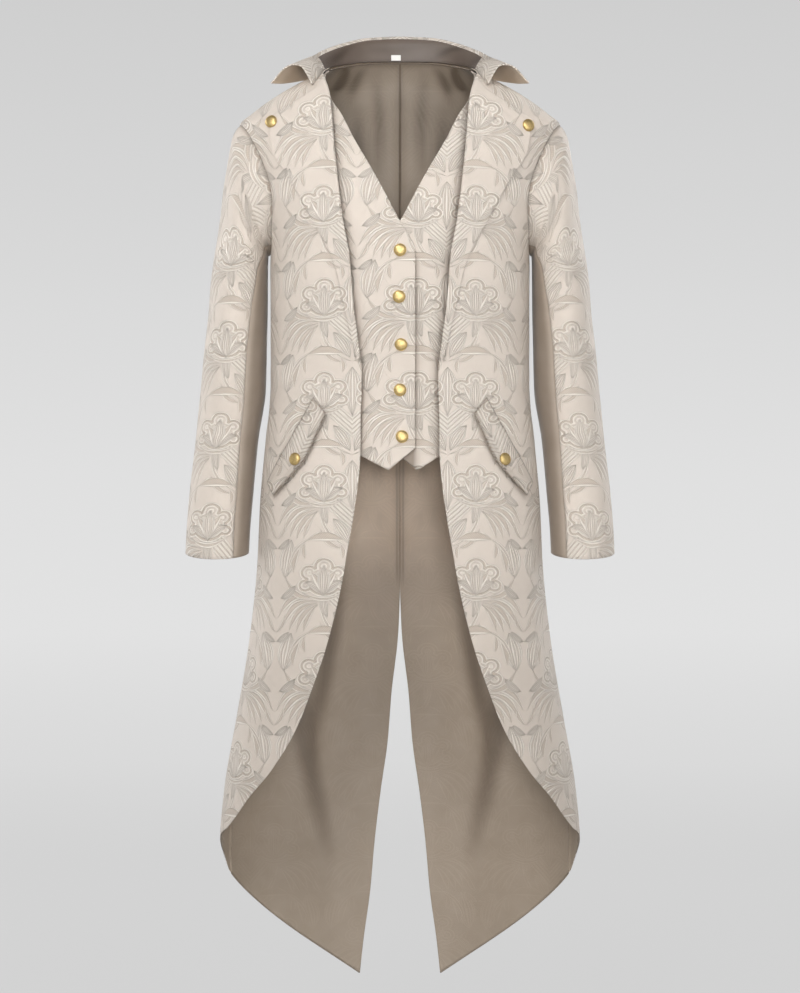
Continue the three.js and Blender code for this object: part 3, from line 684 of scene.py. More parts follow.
def laid(tree: NodeTree, kind: str, takes: dict, **settings: object) -> Node:
    """Lays one shader node.

    Args:
        tree: the nodes that it joins.
        kind: its type.
        takes: what goes into its inputs, by their name or number.
        settings: its own settings.

    Returns:
        The node.
    """
    node = tree.nodes.new(kind)
    for label, value in settings.items():
        setattr(node, label, value)
    for label, value in takes.items():
        feed(tree, node.inputs[label], value)
    return node


def filled_ramp(
    tree: NodeTree, place: "Signal", stops: list[tuple], interpolation: str = "LINEAR"
) -> Node:
    """Lays a colour ramp.

    Args:
        tree: the nodes that it joins.
        place: the number that is looked up in it.
        stops: a place from 0 to 1 and a colour for each stop.
        interpolation: how it runs between them.

    Returns:
        The ramp's node.
    """
    node = laid(tree, "ShaderNodeValToRGB", {"Fac": place})
    band = node.color_ramp
    band.interpolation = interpolation
    while len(band.elements) < len(stops):
        band.elements.new(0.5)
    for element, (position, colour) in zip(band.elements, stops):
        element.position = position
        element.color = colour
    return node


def mixed(
    tree: NodeTree, share: object, low: object, high: object, blend: str = "MIX"
) -> Socket:
    """A mix of two colours, or of the sockets they come from, by the second one's share."""
    takes = {0: share, 6: low, 7: high}
    return laid(tree, "ShaderNodeMix", takes, data_type="RGBA", blend_type=blend).outputs[2]


def joined(tree: NodeTree, across: "Signal", down: "Signal") -> Socket:
    """Joins two numbers into one place."""
    return laid(tree, "ShaderNodeCombineXYZ", {0: across, 1: down}).outputs[0]


def parted(tree: NodeTree, place: Socket) -> tuple["Signal", "Signal"]:
    """Parts a place into two numbers."""
    node = laid(tree, "ShaderNodeSeparateXYZ", {0: place})
    return Signal(tree, node.outputs[0]), Signal(tree, node.outputs[1])


@dataclass
class Signal:
    """A number that flows through a shader's nodes, with its arithmetic laid as nodes."""

    tree: NodeTree
    socket: Socket

    def _math(self, operation: str, *values: "Signal | float") -> "Signal":
        """What a Math node makes of the number and the values after it."""
        takes = dict(enumerate((self, *values)))
        node = laid(self.tree, "ShaderNodeMath", takes, operation=operation)
        return Signal(self.tree, node.outputs[0])

    def __add__(self, other: "Signal | float") -> "Signal":
        """The sum."""
        return self._math("ADD", other)

    def __sub__(self, other: "Signal | float") -> "Signal":
        """The difference."""
        return self._math("SUBTRACT", other)

    def __mul__(self, other: "Signal | float") -> "Signal":
        """The product."""
        return self._math("MULTIPLY", other)

    def __truediv__(self, other: "Signal | float") -> "Signal":
        """The quotient."""
        return self._math("DIVIDE", other)

    def __abs__(self) -> "Signal":
        """The size without its sign."""
        return self._math("ABSOLUTE")

    def scaled(self, factor: "Signal | float", more: "Signal | float") -> "Signal":
        """Itself times factor, plus more."""
        return self._math("MULTIPLY_ADD", factor, more)

    def sine(self) -> "Signal":
        """Its sine."""
        return self._math("SINE")

    def most(self, other: "Signal | float") -> "Signal":
        """The larger of two."""
        return self._math("MAXIMUM", other)

    def melted(self, other: "Signal | float", length: float) -> "Signal":
        """The smaller of two, rounded off where they meet."""
        return self._math("SMOOTH_MIN", other, length)

    def fraction(self) -> "Signal":
        """What is past its whole number."""
        return self._math("FRACT")

    def folded(self, length: float) -> "Signal":
        """Itself running to and fro from 0 to length."""
        return self._math("PINGPONG", length)

    def wrapped(self, top: float, bottom: float) -> "Signal":
        """Itself brought between bottom and top by whole repeats."""
        return self._math("WRAP", top, bottom)

    def stepped(self, low: float, high: float) -> "Signal":
        """0 at low and 1 at high, softly between."""
        takes = {"Value": self, "From Min": low, "From Max": high}
        node = laid(self.tree, "ShaderNodeMapRange", takes, interpolation_type="SMOOTHSTEP")
        return Signal(self.tree, node.outputs["Result"])

    def ramp(self, stops: tuple[tuple[float, float, float], ...]) -> Node:
        """A ramp of a motif's figure in red, its line in green and its cover in alpha."""
        colours = [(at, (figure, line, 0, float(at < stops[-1][0]))) for at, figure, line in stops]
        return filled_ramp(self.tree, self, colours)


def new_group(
    name: str, takes: tuple[str, ...], gives: tuple[str, ...]
) -> tuple[NodeTree, dict[str, Signal], Node]:
    """Makes a shader node group whose inputs and outputs are all numbers.

    Args:
        name: the group's name.
        takes: its inputs' names.
        gives: its outputs' names.

    Returns:
        The group, the numbers that come in, and the node that the results leave by.
    """
    group = bpy.data.node_groups.new(name, "ShaderNodeTree")
    for labels, way in ((takes, "INPUT"), (gives, "OUTPUT")):
        for label in labels:
            group.interface.new_socket(label, in_out=way, socket_type="NodeSocketFloat")
    enter = group.nodes.new("NodeGroupInput")
    leave = group.nodes.new("NodeGroupOutput")
    return group, {label: Signal(group, enter.outputs[label]) for label in takes}, leave


# what lies across a motif, from its middle line to its edge: place, figure, line. The last
# place is where the motif ends. In most, a band of figure just outside the outer line is
# painted shade beside that raised line.
PETAL = ((0.0, 0.5, 0), (0.38, 0.95, 0), (0.46, 0.5, 0.6), (0.54, 0, 1), (0.8, 0, 1),
         (0.87, 0.9, 0), (1.0, 0, 0))
BLADE = ((0.0, 0.7, 0), (0.5, 0.9, 0), (0.6, 0.2, 1), (0.84, 0.1, 1), (0.9, 0.9, 0),
         (1.0, 0, 0))
VEINED = ((0.0, 0, 1), (0.07, 0, 1), (0.13, 0.7, 0), (0.26, 0.3, 0), (0.33, 0, 0.9),
          (0.4, 0, 0.9), (0.46, 0.8, 0), (0.6, 0.4, 0), (0.66, 0, 1), (0.74, 0.1, 0.9),
          (0.8, 0.9, 0), (0.86, 0.2, 0.9), (0.94, 0, 1), (1.0, 0, 0))
STEM = ((0.0, 0.7, 0), (0.3, 0.5, 0), (0.42, 0, 1), (0.78, 0, 1), (0.88, 0.6, 0), (1.0, 0, 0))
BLOOM = ((0.0, 0.3, 0), (0.4, 0.2, 0), (0.5, 0, 0.8), (0.54, 0, 0.8), (0.57, 0.5, 0),
         (0.66, 0.1, 0), (0.69, 0, 1), (0.74, 0, 1), (0.775, 0.9, 0), (0.87, 1, 0),
         (0.9, 0.1, 1), (0.955, 0, 1), (0.975, 0.7, 0), (1, 0, 0))


@dataclass(frozen=True)
class Leaf:
    """One leaf, petal or stem of the woven pattern, charted in millimetres.

    It runs from its root to its tip, with a bow to one side and a width at its widest.
    """

    root: tuple[float, float]
    tip: tuple[float, float]
    width: float
    bow: float = 0.0
    late: float = 0.6
    stops: tuple = PETAL


@dataclass(frozen=True)
class Lobe:
    """One round lobe of the flower: its middle and its radius, in millimetres."""

    middle: tuple[float, float]
    radius: float


@dataclass(frozen=True)
class BrocadeChart:
    """A flower and leaf repeat of a common kind, turned over left to right.

    The half repeat runs from a mirror line at 0 to half, and the whole is high tall. Places
    are across from the mirror line, and up from the flower's middle.
    """

    half: float = 112.0
    high: float = 124.8
    middle: float = 39.0
    # the lobes are charted taller than they are woven
    lobes: tuple = (
        Lobe((39, -3), 28.5), Lobe((39, 21.5), 16.5), Lobe((60, 10), 15.5),
        Lobe((66, -12), 13), Lobe((19.5, 10), 14.5), Lobe((15, -12), 11.5),
    )
    lobe_blend: float = 3.0
    flatter: float = 0.78
    bloom_depth: float = 26.0
    heart: tuple = (
        Leaf((38, -21), (13, -3), 6, -0.14, 0.6, VEINED),
        Leaf((40, -21), (66, -5), 6, 0.14, 0.6, VEINED), Leaf((38, -22), (22, 11), 7, -0.1, 0.6),
        Leaf((40, -22), (57, 9), 7, 0.1, 0.6), Leaf((39, -23), (39, 18), 9.5, 0, 0.52, VEINED),
        Leaf((12, -18), (68, -19), 3.4, -0.15, 0.5, STEM),
    )
    chevron_pitch: float = 4.8
    # a leaf whose tip is lower than this is woven with the low part of the repeat
    low_tips: float = -40.0
    behind: tuple = (
        Leaf((0, -32), (0, 34), 13, 0, 0.72, VEINED), Leaf((47, -35), (68, -70), 5.2, 0.12, 0.74),
        Leaf((47, -34), (79, -71), 5.6, 0.14, 0.76), Leaf((47, -32), (90, -69), 6.0, 0.17, 0.78),
        Leaf((47, -30), (101, -64), 6.2, 0.2, 0.78), Leaf((48, -27), (109, -53), 6.0, 0.23, 0.76),
        Leaf((49, -24), (98, 2), 5.0, -0.2, 0.62, BLADE),
        Leaf((99, 1), (87, 52), 14.5, -0.02, 0.42, VEINED),
        Leaf((84, 8), (72, 46), 6.5, -0.12, 0.5, BLADE),
        Leaf((54, 55), (93, 4), 3.4, 0.17, 0.5, STEM),
        Leaf((12, 52), (62, 52), 8.0, 0.12, 0.5, BLADE),
        Leaf((80, -9), (105, -27), 6.0, -0.1, 0.55, VEINED),
        Leaf((67, 47), (66, 27), 4.6, 0.1, 0.6, BLADE),
        Leaf((16, 47), (13, 27), 4.2, -0.12, 0.6, BLADE),
        Leaf((111, -85), (91, -72), 5.0, 0.1, 0.55, VEINED),
        Leaf((111, -72), (98, -50), 4.2, 0.12, 0.6),
    )
    below: tuple = (
        Leaf((43, -20), (1, -83), 3.4, 0.2, 0.5, STEM),
        Leaf((34, -51), (38, -19), 6.5, -0.1, 0.5, VEINED),
        Leaf((3, -78), (26, -44), 9.5, 0.05, 0.5, VEINED),
        Leaf((44, -58), (12, -84), 4.0, 0.16, 0.5, BLADE),
    )


CHART = BrocadeChart()


class BrocadeWeave:
    """The shader node group that weaves the brocade's repeat."""

    # the two slanting rib lines' lengths, and the chevrons' slant and place
    RIB = (3.2, 2.1)
    SLANT = -0.87
    CHEVRON_LEVEL = 46.0
    CHEVRON_HALF = 13.0
    CHEVRON_REACH = 31.0

    def __init__(self, name: str) -> None:
        """Makes the group, with nothing woven yet."""
        outputs = ("Figure", "Line", "Rib")
        self.group, self.enter, self.leave = new_group(name, ("Across", "Down"), outputs)
        self.top: object = (0, 0, 0, 1)

    def _lay(self, motif: Node) -> None:
        """Lays a motif's ramp over what is woven so far."""
        self.top = mixed(self.group, motif.outputs["Alpha"], self.top, motif.outputs["Color"])

    def _leaf(self, leaf: Leaf, place: Socket) -> None:
        """Weaves one leaf.

        Args:
            leaf: the leaf's chart.
            place: the place in the repeat, in millimetres.
        """
        way = Vector(leaf.tip) - Vector(leaf.root)
        takes = {
            "Location": (*leaf.root, 0),
            "Rotation": (0, 0, float(np.arctan2(way.y, way.x))),
            "Scale": (way.length, way.length, 1),
            "Vector": place,
        }
        node = laid(self.group, "ShaderNodeMapping", takes, vector_type="TEXTURE")
        along, aside = parted(self.group, node.outputs[0])
        rest = along.scaled(-1.0, 1.0)
        hump = (along * rest).most(0.0)
        lean = along.scaled(4 * (leaf.late - 0.5), 1 - 2 * (leaf.late - 0.5))
        half = (hump * lean).scaled(4 * leaf.width / way.length, 0.0004)
        share = abs(hump.scaled(-4 * leaf.bow, aside)) / half
        self._lay(share.ramp(leaf.stops))

    def _away(self, lobe: Lobe, place: Socket) -> Signal:
        """How many millimetres a place lies outside a lobe, below 0 inside."""
        takes = {0: place, 1: (*lobe.middle, 0)}
        node = laid(self.group, "ShaderNodeVectorMath", takes, operation="DISTANCE")
        return Signal(self.group, node.outputs["Value"]) - lobe.radius

    def _flower(self, place: Socket) -> None:
        """Weaves the flower: round lobes with nested outlines, and pointed petals before them.

        Args:
            place: the place in the repeat, about the flower's middle.
        """
        across, down = parted(self.group, place)
        taller = joined(self.group, across, down / CHART.flatter)
        nearest = self._away(CHART.lobes[0], taller)
        for lobe in CHART.lobes[1:]:
            nearest = nearest.melted(self._away(lobe, taller), CHART.lobe_blend)
        self._lay(nearest.scaled(1 / CHART.bloom_depth, 1.0).ramp(BLOOM))
        for petal in CHART.heart:
            self._leaf(petal, place)

    def _chevrons(self, across: Signal, down: Signal) -> None:
        """Weaves a bundle of slanting lines that meet at the mirror line.

        Args:
            across: places across the half repeat.
            down: places up and down, wrapped about the bundle.
        """
        slant = across.scaled(self.SLANT, down) + self.CHEVRON_LEVEL
        lines = abs((slant / (CHART.chevron_pitch * 1.3)).fraction() - 0.5) * 1.7
        window = (abs(slant) - self.CHEVRON_HALF) / 2.0
        ends = (across - self.CHEVRON_REACH) / 3.0
        self._lay((lines + window.most(ends).most(0.0)).ramp(STEM))

    def build(self) -> NodeTree:
        """Lays all of the group's nodes."""
        across = self.enter["Across"].folded(CHART.half)
        down = self.enter["Down"]
        middle = down.wrapped(CHART.high * 0.5, -CHART.high * 0.5)
        low = down.wrapped(CHART.high * 0.3, -CHART.high * 0.7)
        place_low = joined(self.group, across, low)
        place_middle = joined(self.group, across, middle)
        for leaf in CHART.below:
            self._leaf(leaf, place_low)
        for leaf in CHART.behind:
            self._leaf(leaf, place_low if leaf.tip[1] < CHART.low_tips else place_middle)
        self._chevrons(across, low)
        self._flower(place_middle)
        figure, line = parted(self.group, self.top)
        one = ((across + down) * (TURN / self.RIB[0])).sine()
        other = ((across - down) * (TURN / self.RIB[1])).sine()
        results = {"Figure": figure, "Line": line, "Rib": one * other.scaled(0.4, 0.6)}
        for label, result in results.items():
            feed(self.group, self.leave.inputs[label], result)
        return self.group


class FineWeave:
    """The shader node group for the cloth's finest threads and its soft unevenness."""

    @staticmethod
    def build(name: str) -> NodeTree:
        """Makes the group, which gives the threads' height and a slow mottle."""
        outputs = ("Height", "Mottle")
        tree, enter, leave = new_group(name, ("Across", "Down", "Thread"), outputs)
        across, down, thread = enter["Across"], enter["Down"], enter["Thread"]
        warp = (across * TURN / thread).sine()
        weft = (down * TURN / thread).sine()
        takes = {"Scale": 0.03, "Detail": 3.0, "Vector": joined(tree, across, down)}
        noise = laid(tree, "ShaderNodeTexNoise", takes)
        feed(tree, leave.inputs["Height"], (warp * weft).scaled(0.5, 0.5))
        feed(tree, leave.inputs["Mottle"], noise.outputs["Fac"])
        return tree


class Bench:
    """A material being made: its nodes, its shader and the steps that the finishes share."""

    def __init__(self, name: str, constants: dict[str, float | tuple]) -> None:
        """Makes the material.

        Args:
            name: its name.
            constants: values for the shader's own sockets.
        """
        self.material = bpy.data.materials.new(name)
        self.material.use_nodes = True
        self.tree = self.material.node_tree
        self.shader = self.tree.nodes["Principled BSDF"]
        self.feed(constants)

    def feed(self, values: dict[str, object]) -> None:
        """Feeds or sets the shader's sockets."""
        for label, value in values.items():
            feed(self.tree, self.shader.inputs[label], value)

    def cloth_place(self) -> dict[str, Signal]:
        """The place on the cloth from the piece's own UV map, in millimetres."""
        uv = laid(self.tree, "ShaderNodeUVMap", {}, uv_map="Cloth")
        across, down = parted(self.tree, uv.outputs[0])
        return {"Across": across * (1 / MM), "Down": down * (1 / MM)}

    def object_place(self) -> Socket:
        """The place on a rigid piece."""
        return self.tree.nodes.new("ShaderNodeTexCoord").outputs["Object"]

    def placed(self, group: NodeTree, takes: dict[str, object]) -> dict[str, Signal]:
        """Places a node group.

        Args:
            group: the group.
            takes: what goes into its inputs.

        Returns:
            What its outputs give, by name.
        """
        node = laid(self.tree, "ShaderNodeGroup", {}, node_tree=group)
        for label, value in takes.items():
            feed(self.tree, node.inputs[label], value)
        return {socket.name: Signal(self.tree, socket) for socket in node.outputs}

    def shaded(self, colour: Socket, share: Signal) -> Socket:
        """A colour made darker or lighter by a share."""
        takes = {0: colour, "Scale": share}
        return laid(self.tree, "ShaderNodeVectorMath", takes, operation="SCALE").outputs[0]

    def painted_shade(self, colour: Socket, depth: float) -> Socket:
        """A colour made darker and warmer by the painted shade in the cloth's seams, folds and
        shadows.

        Args:
            colour: the colour's socket.
            depth: the share of the painted shade's tint at the deepest place.

        Returns:
            The colour's socket.
        """
        node = laid(self.tree, "ShaderNodeAttribute", {}, attribute_name="Shade")
        share = Signal(self.tree, node.outputs["Fac"]) * depth
        tint = mixed(self.tree, share, WHITE, PAINTED_SHADE_TINT)
        return mixed(self.tree, 1.0, colour, tint, "MULTIPLY")

    def bumped(self, height: Signal, reach: float) -> None:
        """Raises the surface by a height, with reach as the metres for a height of 1."""
        takes = {"Strength": 1.0, "Distance": reach, "Height": height}
        self.feed({"Normal": laid(self.tree, "ShaderNodeBump", takes).outputs["Normal"]})


@dataclass(frozen=True)
class BrocadeFinish:
    """Ivory brocade: a pale ground, greyer figures and cream lines raised on them."""

    name: str = "Brocade"
    ground: tuple = linear(221, 209, 197)
    figure: tuple = linear(187, 172, 157)
    line: tuple = linear(246, 238, 227)
    sheen_tint: tuple = linear(250, 244, 236)
    relief: float = 1.5
    roughness: float = 0.62
    sheen: float = 0.35
    thread: float = 0.9
    # how deep the painted shade in seams, folds and shadows goes
    painted_shade_depth: float = 0.72

    def build(self, weave: NodeTree, fine: NodeTree) -> Material:
        """Makes the material.

        Args:
            weave: the brocade's node group.
            fine: the fine threads' node group.

        Returns:
            The material.
        """
        bench = Bench(self.name, {
            "Sheen Weight": self.sheen,
            "Sheen Roughness": 0.4,
            "Sheen Tint": self.sheen_tint,
            "Specular IOR Level": 0.35,
        })
        place = bench.cloth_place()
        pattern = bench.placed(weave, place)
        threads = bench.placed(fine, place | {"Thread": self.thread})
        line, height = pattern["Line"], threads["Height"]
        ribbed = pattern["Figure"] * pattern["Rib"].scaled(0.4, 0.7)
        base = mixed(bench.tree, ribbed, self.ground, self.figure)
        base = mixed(bench.tree, line * 0.85, base, self.line)
        shade = threads["Mottle"].scaled(0.14, 0.93) * height.scaled(0.06, 0.97)
        bench.feed({
            "Base Color": bench.painted_shade(bench.shaded(base, shade), self.painted_shade_depth),
            "Roughness": line.scaled(-0.12, self.roughness) + ribbed * 0.1,
        })
        raised = line.scaled(0.62, 0.0) - ribbed * 0.3
        bench.bumped(raised + height * 0.1, self.relief * MM)
        return bench.material


@dataclass(frozen=True)
class SatinFinish:
    """A plain satin with fine slanting floats and a faint shadow of a figure."""

    name: str
    base: tuple
    deep: tuple
    roughness: float = 0.42
    sheen: float = 0.2
    figure: float = 0.0
    # painted light and shade up and down the cloth: millimetres of cloth, and a share of the base
    painted_light_rows: tuple = ()
    thread: float = 0.7
    twill: float = 1.1
    relief: float = 0.35
    # how deep the painted shade in seams, folds and shadows goes
    painted_shade_depth: float = 0.75

    def build(self, weave: NodeTree, fine: NodeTree) -> Material:
        """Makes the material.

        Args:
            weave: the brocade's node group, for the faint figure.
            fine: the fine threads' node group.

        Returns:
            The material.
        """
        bench = Bench(self.name, {
            "Sheen Weight": self.sheen, "Sheen Roughness": 0.35, "Specular IOR Level": 0.4,
        })
        place = bench.cloth_place()
        threads = bench.placed(fine, place | {"Thread": self.thread})
        height, mottle = threads["Height"], threads["Mottle"]
        twill = ((place["Across"].scaled(0.5, place["Down"])) * (TURN / self.twill)).sine()
        base = mixed(bench.tree, mottle.scaled(1.6, -0.3), self.base, self.deep)
        # painted light and shade by the place down the cloth
        if self.painted_light_rows:
            base = bench.shaded(base, self._painted_light_share(bench.tree, place["Down"]))
        fine_tone = twill.scaled(0.012, 1.0) * height.scaled(0.03, 0.985)
        raised = twill.scaled(0.1, 0.0) + height * 0.08
        if self.figure:
            line = bench.placed(weave, place)["Line"]
            fine_tone = fine_tone * line.scaled(self.figure, 1.0)
            raised = raised + line * (self.figure * 4)
        bench.feed({
            "Base Color": bench.painted_shade(bench.shaded(base, fine_tone), self.painted_shade_depth),
            "Roughness": mottle.scaled(0.12, self.roughness - 0.06),
        })
        bench.bumped(raised, self.relief * MM)
        return bench.material

    def _painted_light_share(self, tree: NodeTree, down: Signal) -> Signal:
        """The painted light and shade, as a share of the base, at each place down the cloth.

        Args:
            tree: the material's nodes.
            down: millimetres down the cloth.

        Returns:
            The share.
        """
        low, high = self.painted_light_rows[0][0], self.painted_light_rows[-1][0]
        place = down.scaled(1 / (high - low), -low / (high - low))
        stops = [((at - low) / (high - low), (share,) * 3 + (1,)) for at, share in self.painted_light_rows]
        return Signal(tree, filled_ramp(tree, place, stops, "EASE").outputs["Color"])


@dataclass(frozen=True)
class BrassFinish:
    """Warm polished brass, a little brushed and clouded."""

    name: str = "Brass"
    bright: tuple = linear(199, 175, 122)
    dull: tuple = linear(168, 142, 94)
    roughness: float = 0.46
    cloud: float = 420.0
    relief: float = 0.02

    def build(self) -> Material:
        """Makes the material."""
        bench = Bench(self.name, {"Metallic": 1.0})
        takes = {"Scale": self.cloud, "Detail": 3.0, "Vector": bench.object_place()}
        noise = laid(bench.tree, "ShaderNodeTexNoise", takes)
        cloud = Signal(bench.tree, noise.outputs["Fac"])
        bench.feed({
            "Base Color": mixed(bench.tree, cloud.stepped(0.45, 0.75), self.bright, self.dull),
            "Roughness": cloud.scaled(0.2, self.roughness - 0.1),
        })
        bench.bumped(cloud, self.relief * MM)
        return bench.material


@dataclass(frozen=True)
class StageFinish:
    """The plain pale floor and its far rim, lit softly from within its own colour."""

    name: str = "Floor"
    tone: tuple = linear(70, 70, 70)
    # distance from the middle in metres and the glow there
    glow: tuple = (
        (0.0, 0.56), (2.0, 0.60), (5.0, 0.66), (14.0, 0.73), (17.4, 0.73), (19.0, 0.68),
        (19.9, 0.64), (20.5, 0.61), (21.0, 0.56),
    )

    def build(self) -> Material:
        """Makes the material."""
        bench = Bench(self.name, {
            "Base Color": self.tone,
            "Roughness": 0.9,
            "Specular IOR Level": 0.1,
            "Emission Strength": 1.0,
        })
        takes = {0: bench.object_place(), 1: (1, 1, 0)}
        level = laid(bench.tree, "ShaderNodeVectorMath", takes, operation="MULTIPLY")
        takes = {0: level.outputs[0]}
        away = laid(bench.tree, "ShaderNodeVectorMath", takes, operation="LENGTH")
        farthest = self.glow[-1][0]
        distance = Signal(bench.tree, away.outputs["Value"]) / farthest
        stops = [(at / farthest, (light, light, light, 1)) for at, light in self.glow]
        band = filled_ramp(bench.tree, distance, stops, "B_SPLINE")
        bench.feed({"Emission Color": band.outputs["Color"]})
        return bench.material


class Finishes:
    """All the coat's materials, made once."""

    # painted light and shade down the lining, by millimetres of cloth and a share of its base:
    # darkest in the neck's hollow, lightest at the waist, darker again towards the hem
    LINING_PAINTED_LIGHT = (
        (-700, 0.56), (-520, 0.66), (-430, 1.0), (-250, 0.98), (-80, 0.68), (160, 0.39),
    )

    def __init__(self) -> None:
        """Builds the groups and the materials."""
        groups = (BrocadeWeave("Brocade_weave").build(), FineWeave.build("Fine_weave"))
        self.brocade = BrocadeFinish().build(*groups)
        satins = {
            "lining": SatinFinish(
                "Satin_lining", linear(229, 209, 187), linear(217, 197, 174),
                figure=0.05, painted_light_rows=self.LINING_PAINTED_LIGHT,
            ),
            # a darker copy of the satin, its colour painted with the shade inside the collar's
            # stand
            "neck": SatinFinish(
                "Shaded_neck_satin", linear(108, 95, 85), linear(97, 85, 76), roughness=0.36
            ),
            "wing": SatinFinish("Wing_satin", linear(214, 196, 174), linear(200, 182, 160)),
            # the under sleeve's satin: its own colour, darkened further as painted shade between
            # the arm and the body
            "satin": SatinFinish(
                "Plain_satin", linear(182, 168, 154), linear(168, 154, 139), sheen=0.3
            ),
            "tape": SatinFinish(
                "Label_tape", linear(246, 244, 240), linear(238, 235, 230), roughness=0.6
            ),
        }
        made = {name: satin.build(*groups) for name, satin in satins.items()}
        self.lining, self.neck, self.wing = made["lining"], made["neck"], made["wing"]
        self.satin, self.tape = made["satin"], made["tape"]
        self.brass = BrassFinish().build()
        self.floor = StageFinish().build()


def dressed(
    piece: Piece, slot: Slot, materials: tuple[Material, ...], *nodes: str
) -> None:
    """Gives a piece its materials, lets it ride on the coat and stand for its solids.

    Args:
        piece: the piece.
        slot: the record's slot of its main finish; not used.
        materials: the materials, in the order of the mesh's numbers.
        nodes: the solids that it stands for.
    """
    for material in materials:
        piece.data.materials.append(material)
    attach(piece, "root")
    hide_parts(*nodes)
    LOG.info("%s: %d faces", piece.name, len(piece.data.polygons))


@dataclass(frozen=True)
class Sheet:
    """One piece of cloth: the solid that it stands for, its finishes, and its cut.

    The flat size is the cut's width and length in metres, and the thickness is in
    millimetres. Nothing here uses the slot, the flat size or the hold.
    """

    node: str
    slot: Slot
    materials: tuple[Material, ...]
    thickness: float
    flat: tuple[float, float]
    held: Held = Held.HUNG
    ending: str = "cloth"

    def sew(
        self, grid: ClothGrid, side: int = 1, area: float | None = None,
        outside: Callable[[Array], Array] | None = None,
    ) -> None:
        """Args:
            grid: its outer face.
            side: 1 for the wearer's left, -1 for the mirrored right.
            area: the cut's area in square metres, where it isn't the grid's; not used.
            outside: the outer cells' material numbers, where they aren't all 0.
        """
        shell = ClothShell(f"{self.node}_{self.ending}", grid, self.thickness, side)
        piece = shell.build(outside)
        dressed(piece, self.slot, self.materials, self.node)
        area = grid.area() if area is None else area


def tag(side: int) -> str:
    """The side's name."""
    return "left" if side > 0 else "right"


